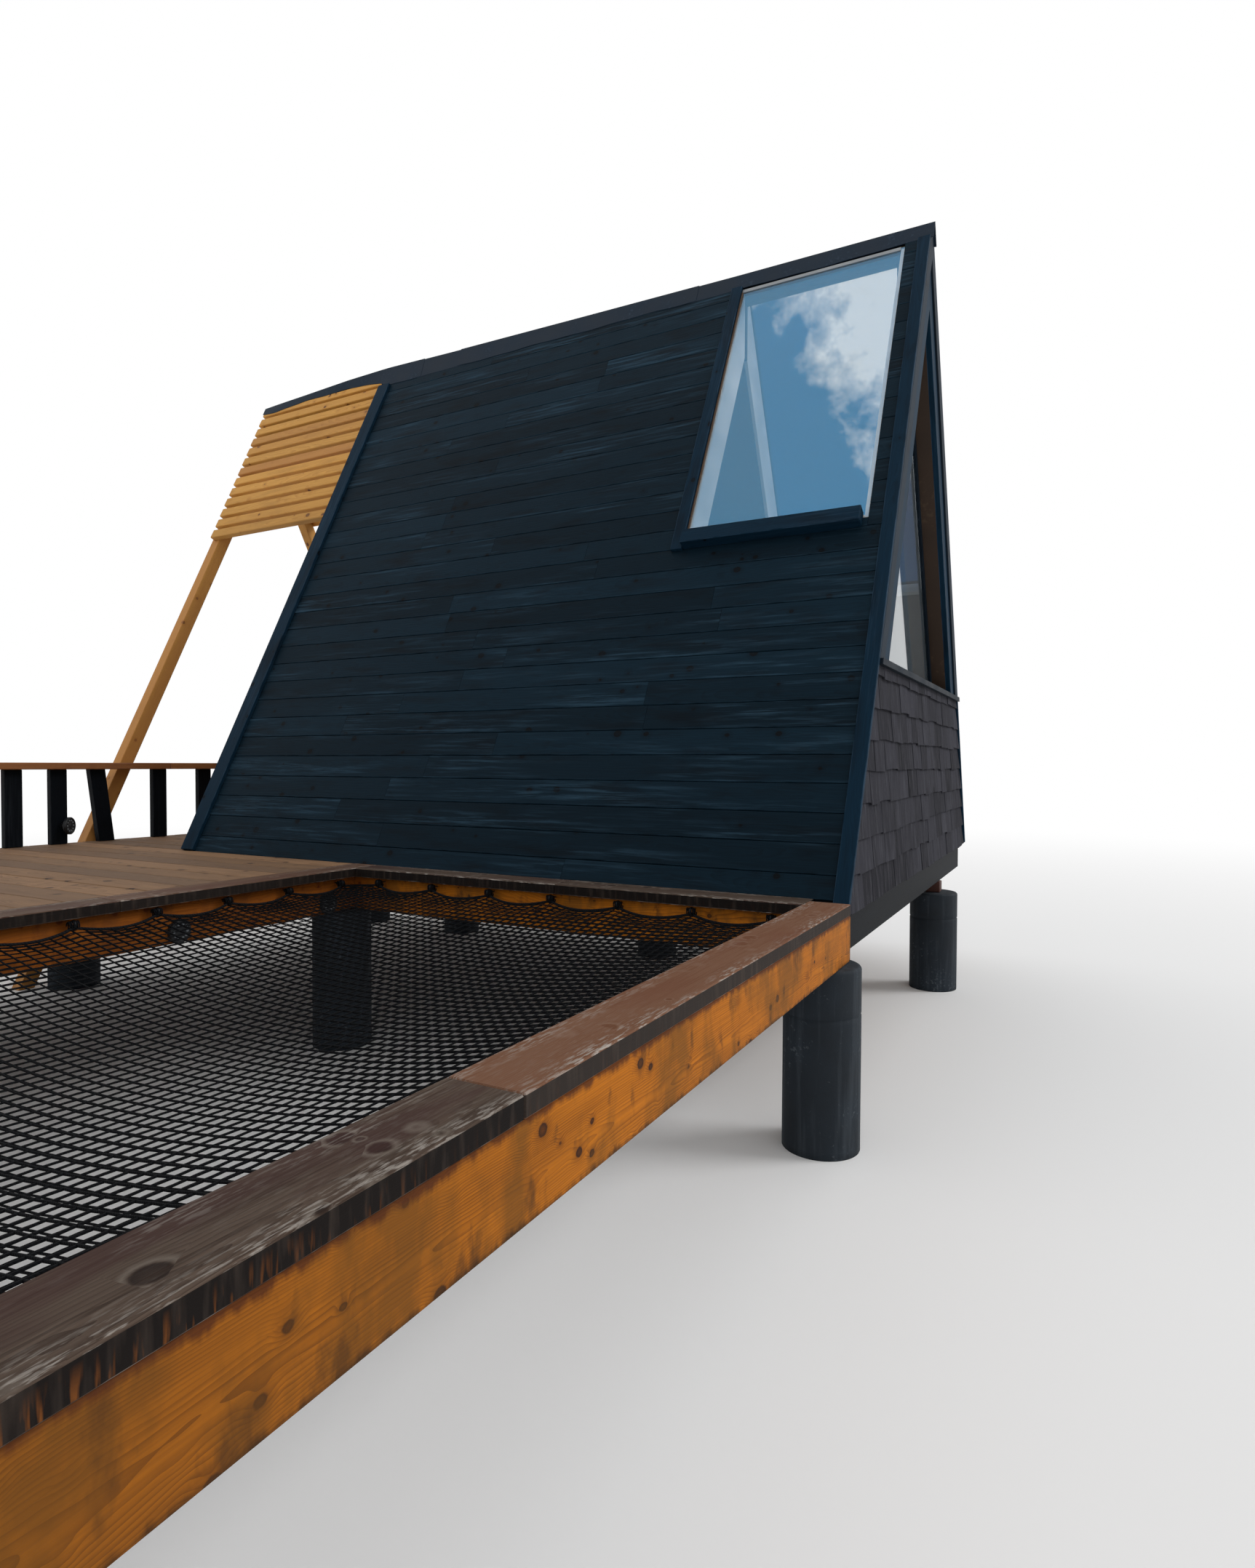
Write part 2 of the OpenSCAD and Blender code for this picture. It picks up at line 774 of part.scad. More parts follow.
module net_hooks() {
    color("#2a2b2e") placed() {
        for (k = eyes_along) {
            translate([net_right + cap_over, net_y(net_cells[1] - k), eye_z]) hook();
            translate([net_left - cap_over, net_y(net_cells[1] - k), eye_z]) rotate([0, 0, 180]) hook();
        }
        for (k = eyes_across) {
            translate([net_x(net_cells[0] - k), net_back + cap_over, eye_z]) rotate([0, 0, 90]) hook();
            translate([net_x(net_cells[0] - k), net_front - cap_over, eye_z]) rotate([0, 0, -90]) hook();
        }
    }
}

// Round lamps: two under the cap of the net bay, one on a short arm at the foot of the railing
module deck_lights() {
    d = 84;
    t = 22;
    arm_y = baluster_y(11) + 20;
    color("#202428") placed() {
        for (y = [-2432, -1742])
            translate([net_left - cap_over, y, beam_bottom + d / 2 + 2]) rotate([0, 90, 0]) cylinder(d = d, h = t);
        translate([rail_x + baluster_t / 2, arm_y, deck_z + 103]) rotate([0, 90, 0]) cylinder(d = 30, h = 26);
        translate([rail_x + 46, -1600, deck_z + 103]) rotate([0, 0, 32]) rotate([0, 90, 0])
            cylinder(d = 105, h = t, center = true);
    }
}

near_piers();
far_piers();
front_piers();
pier_blocks();
near_girder();
floor_frame();
floor_boards();
near_siding();
far_siding();
near_panel();
far_panel();
near_lining();
far_lining();
ridge_board();
ridge_flashing();
corner_trims();
rake_boards();
gable_shingles();
gable_wall();
gable_sill();
gable_frame();
gable_glass();
skylight_liners();
skylight_casings();
skylight_sills();
skylight_glass();
rear_walls();
door_frame();
door();
transom_frame();
transom_glass();
porch_rafters();
near_leg();
far_leg();
near_slats();
far_slats();
deck_frame();
deck_boards();
balusters();
rail_cap();
net_beams();
net_caps();
net();
net_hooks();
deck_lights();
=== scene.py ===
# %% [markdown]
# An A-frame cabin on round piers, with a slatted porch roof, a low deck and a net bay for lying
# in. The solid model comes first, as a fixed frame. Every piece made below sits where that frame
# says, in metres, with X along the ridge, Y across it and Z up from the ground.

# %% Load the frame
import json
import math
import random

import bmesh
import bpy
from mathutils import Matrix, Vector

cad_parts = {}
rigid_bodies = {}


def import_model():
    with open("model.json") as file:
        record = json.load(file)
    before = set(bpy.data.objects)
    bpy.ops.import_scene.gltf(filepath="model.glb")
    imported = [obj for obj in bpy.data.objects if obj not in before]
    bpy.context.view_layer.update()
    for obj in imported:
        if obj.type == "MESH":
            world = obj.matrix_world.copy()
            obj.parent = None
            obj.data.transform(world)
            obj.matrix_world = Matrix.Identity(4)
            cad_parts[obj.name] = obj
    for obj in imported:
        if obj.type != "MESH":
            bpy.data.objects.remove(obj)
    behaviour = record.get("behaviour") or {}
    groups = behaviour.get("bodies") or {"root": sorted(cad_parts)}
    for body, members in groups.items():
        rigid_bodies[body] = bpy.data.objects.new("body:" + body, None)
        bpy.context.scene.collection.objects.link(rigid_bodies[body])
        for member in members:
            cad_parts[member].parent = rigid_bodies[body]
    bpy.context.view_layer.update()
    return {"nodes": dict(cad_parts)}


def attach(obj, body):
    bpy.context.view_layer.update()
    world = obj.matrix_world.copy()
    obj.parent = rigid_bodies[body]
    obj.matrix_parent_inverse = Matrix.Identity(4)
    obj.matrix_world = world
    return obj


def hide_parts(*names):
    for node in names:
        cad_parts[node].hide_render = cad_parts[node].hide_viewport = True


for leftover in list(bpy.data.objects):
    bpy.data.objects.remove(leftover)

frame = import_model()

# %% [markdown]
# The same few sizes drive the solid model, so they are written down once here. Places along
# the ridge are counted from the gable face and places across it from the ridge line, because
# that is how a carpenter would set the cabin out. `level` turns such a place into the frame's.
# Much of the cabin lies in its two sloping sides, so `near_side` and `far_side` take a place as
# metres along the ridge, metres up the slope from deck level, and metres out of the side.

# %% Sizes and places
MID_X, MID_Y = -2.344, -1.4655
DECK = 0.790
HALF_BASE = 1.496
SLOPE = math.radians(64)
CABIN_LEN = 3.520
PORCH_LEN = 1.180
RIDGE_S = HALF_BASE / math.cos(SLOPE)
RIDGE_Z = DECK + HALF_BASE * math.tan(SLOPE)
REAR_X = -CABIN_LEN
PORCH_X = REAR_X - PORCH_LEN
SILL_Z = DECK + 0.865
SHINGLE_T = 0.037
WALL_T = 0.178
BEAM_T, BEAM_D, CAP_W, CAP_T = 0.089, 0.152, 0.140, 0.038
BEAM_TOP = DECK - CAP_T
BEAM_BOTTOM = BEAM_TOP - BEAM_D
JOIST_TOP = BEAM_BOTTOM + 0.184
FLOOR_TOP = JOIST_TOP + 0.019
BAY_RIGHT, BAY_LEFT = 0.010, -2.283
NET_RIGHT, NET_LEFT = BAY_RIGHT - CAP_W, BAY_LEFT + CAP_W
NET_BACK, NET_FRONT = -1.630, -4.630
BAY_BACK, BAY_FRONT = NET_BACK + CAP_W, NET_FRONT - CAP_W
DECK_LEFT = PORCH_X + 0.230
RAIL_X = DECK_LEFT + 0.045


def level(x, y, z):
    return Vector((x - MID_X, y - MID_Y, z))


def near_side(x, up, out):
    y = -HALF_BASE + up * math.cos(SLOPE) - out * math.sin(SLOPE)
    return level(x, y, DECK + up * math.sin(SLOPE) + out * math.cos(SLOPE))


def far_side(x, up, out):
    here = near_side(x, up, out)
    return Vector((here.x, -2 * MID_Y - here.y, here.z))


print("ridge at", round(RIDGE_Z, 3), "slope length", round(RIDGE_S, 3))

# %% [markdown]
# A side of the cabin has layers: siding outside, a framed panel, and a lining inside. These
# helpers give the place of a layer `depth` metres inside the siding's face, as the Y of the near
# side at a height, or as the height at a Y.

# %% Places inside a sloping side
def y_at(depth, z):
    return -HALF_BASE + (z - DECK) / math.tan(SLOPE) + depth / math.sin(SLOPE)


def z_at(depth, y):
    return DECK + (y + HALF_BASE - depth / math.sin(SLOPE)) * math.tan(SLOPE)


def in_side(y, z):
    """A place in the plane of the gable as (up, out) of the near side."""
    return ((y + HALF_BASE) * math.cos(SLOPE) + (z - DECK) * math.sin(SLOPE),
            -(y + HALF_BASE) * math.sin(SLOPE) + (z - DECK) * math.cos(SLOPE))


print("inner width at the floor", round(-2 * y_at(WALL_T, FLOOR_TOP), 3))

# %% [markdown]
# A camera is set up like the photographer's: where it stood, which way it looked and how wide
# the lens was. The lens follows from the photo itself. Lines that are parallel on the cabin
# meet at vanishing points, and these give the lens and the turn of the camera.

# %% The camera
EYE_AT, LENS = (3.042, -2.9285, 1.251), 19.76
TURN, DOWN, ROLL = math.radians(28.184), math.radians(1.321), math.radians(-0.172)
eye = bpy.data.cameras.new("eye")
eye.sensor_width, eye.lens = 36, LENS
eye.clip_start, eye.clip_end = 0.05, 200
camera = bpy.data.objects.new("camera", eye)
camera.location = EYE_AT
camera.rotation_mode = "XYZ"
aim = Vector((-math.sin(TURN) * math.cos(DOWN), math.cos(TURN) * math.cos(DOWN), -math.sin(DOWN)))
camera.rotation_euler = aim.to_track_quat("-Z", "Y").to_euler()
camera.rotation_euler.rotate_axis("Z", -ROLL)
bpy.context.scene.collection.objects.link(camera)
bpy.context.scene.camera = camera
print("camera looks along", [round(v, 3) for v in aim])

# %% [markdown]
# Every material below is a small tree of nodes. One function adds a node: each setting is an
# option of the node, a number, a colour as a hex code, or the output of another node to link.
# Hex codes are how a paint shop writes colours, so a second function turns them into the
# linear numbers that shaders use.

# %% Adding nodes
def linear(code):
    parts = [int(code[i:i + 2], 16) / 255 for i in (1, 3, 5)]
    return [c / 12.92 if c < 0.04045 else ((c + 0.055) / 1.055) ** 2.4 for c in parts] + [1]


def add(tree, kind, settings=None, out=0):
    """Adds a node with its settings and links, and gives one of its outputs."""
    node = tree.nodes.new("ShaderNode" + kind)
    for key, value in (settings or {}).items():
        if key in node.bl_rna.properties.keys():
            setattr(node, key, value)
        elif isinstance(value, bpy.types.NodeSocket):
            tree.links.new(value, node.inputs[key])
        else:
            node.inputs[key].default_value = linear(value) if isinstance(value, str) else value
    return node.outputs[out] if node.outputs else node


print("mid grey is", round(linear("#808080")[0], 3), "in linear light")

# %% [markdown]
# The light is a plain studio: an even pale sky all round and one large soft sun. Together they
# light a face that looks at them at about full strength, so a colour looks as it is written.
# The camera, glass and polished metal see the sky as pure white.

# %% Sky and sun
bpy.context.scene.view_settings.view_transform = "Standard"
sky = bpy.data.worlds.new("studio")
sky.use_nodes = True
bpy.context.scene.world = sky
tree = sky.node_tree
tree.nodes.clear()
path = add(tree, "LightPath").node.outputs
seen = add(tree, "Math", {"operation": "MAXIMUM", 0: path["Is Camera Ray"], 1: path["Is Glossy Ray"]})
seen = add(tree, "Math", {"operation": "MAXIMUM", 0: seen, 1: path["Is Transmission Ray"]})
glow = add(tree, "MapRange", {"Value": seen, "To Min": 0.72, "To Max": 1.0})
light = add(tree, "Background", {"Color": "#ffffff", "Strength": glow})
add(tree, "OutputWorld", {"Surface": light})

sun = bpy.data.lights.new("sun", "SUN")
sun.energy = 1.25
sun.angle = math.radians(25)
lamp = bpy.data.objects.new("sun", sun)
lamp.rotation_euler = Vector((-0.78, -0.42, -0.60)).to_track_quat("-Z", "Y").to_euler()
bpy.context.scene.collection.objects.link(lamp)
print("sky and sun set")

# %% [markdown]
# The floor is one large pale disc. Far from the cabin it fades to the white of the sky for the
# camera, so no horizon line shows, while near the cabin it keeps the shadow.

# %% Floor
bpy.ops.mesh.primitive_circle_add(vertices=96, radius=60, fill_type="NGON")
floor = bpy.context.object
floor.name = "floor"
pale = bpy.data.materials.new("pale_studio_floor")
pale.use_nodes = True
tree = pale.node_tree
paper = tree.nodes["Principled BSDF"]
paper.inputs["Base Color"].default_value = linear("#f2f2f2")
paper.inputs["Roughness"].default_value = 0.9
reach = add(tree, "VectorMath", {"operation": "LENGTH", 0: add(tree, "TexCoord", None, 3)}, 1)
away = add(tree, "MapRange", {"Value": reach, "From Min": 5.0, "From Max": 16.0,
                              "interpolation_type": "SMOOTHSTEP"})
away = add(tree, "Math", {"operation": "MULTIPLY", 0: away, 1: add(tree, "LightPath")})
white = add(tree, "Emission", {"Color": "#ffffff", "Strength": 1.0})
faded = add(tree, "MixShader", {0: away, 1: paper.outputs[0], 2: white})
tree.links.new(faded, tree.nodes["Material Output"].inputs["Surface"])
floor.data.materials.append(pale)
print("floor ready")

# %% [markdown]
# Most of this cabin is boards. A board could be a cube with a Bevel modifier, but a few
# thousand of those would be slow. Here boards are written straight into one long list of
# points and faces, and the list becomes one mesh. Each board also stores what its material
# needs. `grain` is the place of a point inside its log, with the heart of the log 30 to 120 mm
# from the board's middle, `inside` is the place from the board's own middle, `half` is half of
# its size, and `tone` is one random number, so that no two boards look alike. The wood shader
# lets the heart drift and ripple along the log, so half of that wander is taken off here.

# %% A pile of boards
rng = random.Random(7)
DRIFT, RIPPLE = 0.120, 0.012
HALF_WANDER = (DRIFT + RIPPLE) / 2


def new_pile():
    return {"points": [], "faces": [], "grain": [], "inside": [], "half": [], "tone": []}


def put_in(pile, place, points, faces, along, tone=None):
    """Adds one solid. `along` is the axis of `points` that the wood grain follows."""
    start = len(pile["points"])
    low = [min(p[k] for p in points) for k in range(3)]
    high = [max(p[k] for p in points) for k in range(3)]
    wide, thin = sorted([k for k in range(3) if k != along], key=lambda k: low[k] - high[k])
    axes = (along, wide, thin)
    half = [(high[k] - low[k]) / 2 for k in axes]
    heart = (rng.uniform(0, 40), rng.uniform(-0.05, 0.05) - HALF_WANDER,
             rng.choice((-1, 1)) * rng.uniform(0.03, 0.12) - HALF_WANDER)
    shade = rng.random() if tone is None else tone
    for p in points:
        inside = [p[k] - (low[k] + high[k]) / 2 for k in axes]
        pile["points"].append(place(*p))
        pile["grain"].append([a + b for a, b in zip(inside, heart)])
        pile["inside"].append(inside)
        pile["half"].append(half)
        pile["tone"].append(shade)
    pile["faces"] += [[start + i for i in face] for face in faces]


print("piles of boards can be made")

# %% [markdown]
# A sawn board has its sharp edges taken off by a plane or by years of weather. `board` makes
# one between two corners, with each edge cut off at 45 degrees, which catches a thin line of
# light as the real ones do. `prism` draws an outline out along one direction, for boards that
# are not square in section.

# %% Boards and prisms
def corner_of(axes, signs):
    """The corner that lies on the given side along each of three axes."""
    return tuple(sign for _, sign in sorted(zip(axes, signs)))


def board(pile, place, low, high, along=0, edge=0.002, tone=None):
    half = [(b - a) / 2 for a, b in zip(low, high)]
    mid = [(a + b) / 2 for a, b in zip(low, high)]
    corners = [(sx, sy, sz) for sx in (-1, 1) for sy in (-1, 1) for sz in (-1, 1)]
    points, index = [], {}
    for corner in corners:
        for flush in range(3):
            index[corner, flush] = len(points)
            inset = [0 if k == flush else edge for k in range(3)]
            points.append([mid[k] + corner[k] * (half[k] - inset[k]) for k in range(3)])
    faces = [[index[corner, k] for k in range(3)] for corner in corners]
    for axis in range(3):
        a, b = [k for k in range(3) if k != axis]
        for side in (-1, 1):
            ring = ((-1, -1), (1, -1), (1, 1), (-1, 1))
            faces.append([index[corner_of((axis, a, b), (side, *signs)), axis] for signs in ring])
        for signs in ((-1, -1), (-1, 1), (1, -1), (1, 1)):
            p, q = (corner_of((axis, a, b), (side, *signs)) for side in (-1, 1))
            faces.append([index[p, a], index[q, a], index[q, b], index[p, b]])
    put_in(pile, place, points, faces, along, tone)


def drum_faces(n):
    """Both ends and all sides of a solid whose points are two outlines of n points."""
    ends = [list(range(n)), list(range(2 * n - 1, n - 1, -1))]
    return ends + [[k, k + n, (k + 1) % n + n, (k + 1) % n] for k in range(n)]


def prism(pile, place, outline, start, end, along=0, tone=None):
    """An outline in the last two directions of `place`, drawn out along the first one."""
    points = [(x, a, b) for x in (start, end) for a, b in outline]
    put_in(pile, place, points, drum_faces(len(outline)), along, tone)


def joined(pile, place, low, high, along, cuts, edge=0.002, tones=()):
    """A long board made of several lengths, cut at the given places."""
    stops = [low[along]] + sorted(cuts) + [high[along]]
    for k, (a, b) in enumerate(zip(stops, stops[1:])):
        lo, hi = list(low), list(high)
        lo[along], hi[along] = a + 0.0005, b - 0.0005
        board(pile, place, lo, hi, along, edge, tones[k] if tones else None)


print("a drawn out outline of 8 points has", len(drum_faces(8)), "faces")

# %% [markdown]
# `finish_piece` makes any list of points and faces into an object of the cabin: it rides on the
# fixed body, stands for its nodes of the solid model, and takes its material.
# `make` does this for a pile and stores the facts for the wood shader in the mesh. `turn_out`
# makes all faces of a closed shape look outward.

# %% From lists to objects
def turn_out(shape, mesh):
    """Writes a bmesh into a mesh, with its faces turned outward."""
    bmesh.ops.recalc_face_normals(shape, faces=shape.faces)
    shape.to_mesh(mesh)
    shape.free()


def finish_piece(mesh, name, material, nodes=()):
    mesh.materials.append(material)
    piece = bpy.data.objects.new(name, mesh)
    bpy.context.scene.collection.objects.link(piece)
    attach(piece, "root")
    if nodes:
        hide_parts(*nodes)
    print(name, "has", len(mesh.polygons), "faces")
    return piece


def make(pile, name, material, nodes=()):
    mesh = bpy.data.meshes.new(name)
    mesh.from_pydata(pile["points"], [], pile["faces"])
    for fact in ("grain", "inside", "half"):
        numbers = [number for vector in pile[fact] for number in vector]
        mesh.attributes.new(fact, "FLOAT_VECTOR", "POINT").data.foreach_set("vector", numbers)
    mesh.attributes.new("tone", "FLOAT", "POINT").data.foreach_set("value", pile["tone"])
    shape = bmesh.new()
    shape.from_mesh(mesh)
    turn_out(shape, mesh)
    return finish_piece(mesh, name, material, nodes)


print("objects can be made from piles")

# %% [markdown]
# Wood is the main finish here, and all of it is sawn softwood under different coats. A pattern
# in wood comes from two things: clouds of colour, stretched along the grain, and what the saw
# cut through. `patches` gives the first. Its `stretch` says how many clouds there are in a
# metre along each axis, so fibres are 260 a metre across and 7 a metre along.

# %% Coats and patches
def coat(name, roughness=0.6, gloss=0.35, **settings):
    """A new material with its node tree and its Principled shader."""
    material = bpy.data.materials.new(name)
    material.use_nodes = True
    shader = material.node_tree.nodes["Principled BSDF"]
    shader.inputs["Roughness"].default_value = roughness
    shader.inputs["Specular IOR Level"].default_value = gloss
    for key, value in settings.items():
        shader.inputs[key.replace("_", " ")].default_value = value
    return material, material.node_tree, shader


def patches(tree, where, stretch, low, high, most=1.0, detail=3.0, rough=0.5):
    """0 to `most` in soft patches: clouds, cut between two levels."""
    spread = add(tree, "Mapping", {"Vector": where, "Scale": stretch})
    cloud = add(tree, "TexNoise", {"Vector": spread, "Scale": 1.0, "Detail": detail, "Roughness": rough})
    return add(tree, "MapRange", {"Value": cloud, "From Min": low, "From Max": high, "To Max": most})


print("coats and patches ready")

# %% [markdown]
# Knots are where branches left the trunk. They are scattered through the log as small balls,
# one in some of the cells of a Voronoi texture 60 mm wide, so a board shows a round dark spot
# wherever its face cuts one. The result is the distance from a knot as a share of its size.

# %% Knots
CELL = 0.060


def knot_pattern(tree, grain, share, size):
    shake = add(tree, "TexNoise", {"Vector": grain, "Scale": 90.0, "Detail": 2.0}, 1)
    shaken = add(tree, "VectorMath", {"operation": "MULTIPLY_ADD", 0: shake, 1: (0.004, 0.004, 0.004),
                                      2: grain})
    spread = add(tree, "Mapping", {"Vector": shaken, "Scale": (0.85, 1, 1)})
    spots = add(tree, "TexVoronoi", {"Vector": spread, "Scale": 1 / CELL}).node.outputs
    dice = add(tree, "SeparateColor", {"Color": spots["Color"]}).node.outputs
    reach = add(tree, "MapRange", {"Value": dice[1], "To Min": 0.4 * size / CELL,
                                   "To Max": 1.3 * size / CELL})
    near = add(tree, "Math", {"operation": "DIVIDE", 0: spots["Distance"], 1: reach})
    none = add(tree, "Math", {"operation": "GREATER_THAN", 0: dice[0], 1: share})
    return add(tree, "Math", {"operation": "MULTIPLY_ADD", 0: none, 1: 9.0, 2: near})


print("knots ready")

# %% [markdown]
# A log is made of rings round its heart, and a board shows them as lines near its edges and as
# long arches along its middle. The shader draws rings round the stored heart line, and lets
# that line wander along the log, which makes the arches. Knots push the rings aside. The rings
# are 4 mm apart, as in fast grown pine, and each fades in slowly and ends sharply. A wave
# texture repeats 20 times in 2 pi of its scale, so `WAVE` over a spacing is the scale for it.

# %% Rings
RING = 0.004
WAVE = 2 * math.pi / 20


def ring_pattern(tree, grain, knot_at):
    bulge = add(tree, "MapRange", {"Value": knot_at, "From Min": 3.5, "From Max": 0.0, "To Max": 0.012,
                                   "interpolation_type": "SMOOTHSTEP"})
    place = grain
    for stretch, detail, reach in (((0.8, 2.5, 2.5), 1.0, DRIFT), ((6, 18, 18), 2.0, RIPPLE)):
        spread = add(tree, "Mapping", {"Vector": grain, "Scale": stretch})
        wander = add(tree, "TexNoise", {"Vector": spread, "Scale": 1.0, "Detail": detail}, 1)
        place = add(tree, "VectorMath", {"operation": "MULTIPLY_ADD", 0: wander, 1: (0, reach, reach),
                                         2: place})
    parts = add(tree, "SeparateXYZ", {0: place}).node.outputs
    across = add(tree, "Math", {"operation": "ADD", 0: parts[1], 1: bulge})
    flat = add(tree, "Math", {"operation": "MULTIPLY", 0: parts[0], 1: 0.04})
    cut = add(tree, "CombineXYZ", {0: flat, 1: across, 2: parts[2]})
    ring = add(tree, "TexWave", {"Vector": cut, "wave_type": "RINGS", "rings_direction": "X",
                                 "wave_profile": "SAW", "Scale": WAVE / RING, "Distortion": 1.5,
                                 "Detail": 2.0, "Detail Scale": 0.6}, 1)
    return add(tree, "Math", {"operation": "POWER", 0: ring, 1: 2.2})


print("rings every", RING * 1000, "mm")

# %% [markdown]
# `wood` puts these together: pale early wood, darker late wood, fibres, clouds and knots, and a
# lighter or darker tone for each board. The relief is under a millimetre: fibres stand up and
# the hard rings stay behind. `from_edges` tells a coat how far a point is from the board's long
# edges and from its ends, because coats wear at the edges and soak into the end grain.

# %% The wood shader
def wood(name, early, late, knot, rings=0.7, knots=0.3, knot_size=0.012, vary=0.3, roughness=0.65,
         bump=0.0006, gloss=0.35, clouds=0.3):
    """A wood with its tree and shader, the grain to lay coats on, and the bare colour."""
    material, tree, shader = coat(name, roughness, gloss)
    grain = add(tree, "Attribute", {"attribute_name": "grain"}, 1)
    tone = add(tree, "Attribute", {"attribute_name": "tone"}, 2)
    knot_at = knot_pattern(tree, grain, knots, knot_size)
    fade = patches(tree, grain, (1.5, 20, 20), 0.3, 0.65)
    fade = add(tree, "MapRange", {"Value": fade, "To Min": 0.3 * rings, "To Max": rings})
    ring = add(tree, "Math", {"operation": "MULTIPLY", 0: ring_pattern(tree, grain, knot_at), 1: fade})
    fibre = patches(tree, grain, (7, 260, 260), 0.35, 0.7)
    threads = add(tree, "Math", {"operation": "MULTIPLY", 0: fibre, 1: 0.35})
    cloudy = patches(tree, grain, (3, 14, 14), 0.52, 0.75, clouds)
    halo = add(tree, "MapRange", {"Value": knot_at, "From Min": 2.4, "From Max": 1.0, "To Max": 0.55})
    bark = add(tree, "MapRange", {"Value": knot_at, "From Min": 0.2, "From Max": 0.9, "To Min": 0.55})
    heart = add(tree, "Mix", {"data_type": "RGBA", 0: bark, 6: late, 7: knot}, 2)
    inside = add(tree, "MapRange", {"Value": knot_at, "From Min": 1.12, "From Max": 0.88})
    colour = early
    for amount, over in ((ring, late), (threads, late), (cloudy, knot), (halo, late), (inside, heart)):
        colour = add(tree, "Mix", {"data_type": "RGBA", 0: amount, 6: colour, 7: over}, 2)
    value = add(tree, "MapRange", {"Value": tone, "To Min": 1 - vary, "To Max": 1 + vary})
    colour = add(tree, "HueSaturation", {"Color": colour, "Value": value})
    height = add(tree, "Math", {"operation": "MULTIPLY_ADD", 0: ring, 1: -0.5, 2: fibre})
    relief = add(tree, "Bump", {"Height": height, "Strength": 0.6, "Distance": bump})
    tree.links.new(relief, shader.inputs["Normal"])
    tree.links.new(colour, shader.inputs["Base Color"])
    return material, tree, shader, grain, colour


def from_edges(tree):
    """How far a point is from its board's long edges, and how far from the ends."""
    inside = add(tree, "Attribute", {"attribute_name": "inside"}, 1)
    half = add(tree, "Attribute", {"attribute_name": "half"}, 1)
    off = add(tree, "VectorMath", {"operation": "ABSOLUTE", 0: inside})
    room = add(tree, "VectorMath", {"operation": "SUBTRACT", 0: half, 1: off})
    room = add(tree, "SeparateXYZ", {0: room}).node.outputs
    return add(tree, "Math", {"operation": "MAXIMUM", 0: room[1], 1: room[2]}), room[0]


print("wood shader ready")

# %% [markdown]
# The siding, trims and window frames are sawn pine under a thin blue-black stain. The stain
# lets the grain show a little, looks nearly flat, and rubs off to a pale blue-grey in long
# scuffs and along sharp edges. The outer rake boards at the gable are a lighter grey.

# %% Stained siding and trims
def stained(name, ground, ring, scuff, scuffs, edges, vary):
    """A thin stain: `scuffs` and `edges` say how much is rubbed off in scuffs and at edges."""
    material, tree, shader, grain, colour = wood(name, ground, ring, "#0b0d10", rings=0.6, knots=0.15,
                                                 vary=vary, roughness=0.62, gloss=0.05, clouds=0.55)
    marks = patches(tree, grain, (3.0, 60, 60), 0.48, 0.74, 1.0, 4.0, 0.65)
    where = patches(tree, grain, (0.9, 7, 7), 0.47, 0.68, scuffs)
    rubbed = add(tree, "Math", {"operation": "MULTIPLY", 0: marks, 1: where})
    sharp = add(tree, "MapRange", {"Value": from_edges(tree)[0], "From Min": 0.004, "From Max": 0.001,
                                   "To Max": edges})
    broken = patches(tree, grain, (9, 9, 9), 0.4, 0.6)
    sharp = add(tree, "Math", {"operation": "MULTIPLY", 0: sharp, 1: broken})
    rubbed = add(tree, "Math", {"operation": "MAXIMUM", 0: rubbed, 1: sharp})
    colour = add(tree, "Mix", {"data_type": "RGBA", 0: rubbed, 6: colour, 7: scuff}, 2)
    dull = add(tree, "MapRange", {"Value": rubbed, "To Min": 0.58, "To Max": 0.8})
    tree.links.new(colour, shader.inputs["Base Color"])
    tree.links.new(dull, shader.inputs["Roughness"])
    return material


stained_siding = stained("blue_black_stained_pine", "#0f232f", "#0a1720", "#426075", 0.6, 0.25, 0.28)
stained_trim = stained("blue_black_planed_trim", "#102a3c", "#0b1f2d", "#405970", 0.3, 0.5, 0.15)
rake_stain = stained("lighter_grey_stained_rake", "#1c2833", "#141e28", "#4d5963", 0.4, 0.3, 0.1)
black_wood = stained("black_painted_sawn_board", "#0e1217", "#090c10", "#383d44", 0.35, 0.4, 0.2)
print("stained woods ready")

# %% [markdown]
# The slats, legs and rafters are new pine with only a clear coat: yellow, with dark end grain.
# They came from several batches, so some are yellow and others reddish. The random number of
# each board, scrambled once more, picks between the two. The deck, rail and door are the same
# pine under brown oils.

# %% New pine and brown pines
def two_batches(name, early, late, knot, second, share=0.4, **more):
    material, tree, shader, _, colour = wood(name, early, late, knot, **more)
    tone = add(tree, "Attribute", {"attribute_name": "tone"}, 2)
    stirred = add(tree, "Math", {"operation": "MULTIPLY", 0: tone, 1: 91.0})
    turn = add(tree, "TexWhiteNoise", {"noise_dimensions": "1D", "W": stirred})
    pick = add(tree, "MapRange", {"Value": turn, "From Min": 1 - share, "From Max": 1.2 - share,
                                  "To Max": 0.6})
    soaked = add(tree, "MapRange", {"Value": from_edges(tree)[1], "From Min": 0.012, "From Max": 0.0,
                                    "To Max": 0.55})
    for amount, over in ((pick, second), (soaked, late)):
        colour = add(tree, "Mix", {"data_type": "RGBA", 0: amount, 6: colour, 7: over}, 2)
    tree.links.new(colour, shader.inputs["Base Color"])
    return material


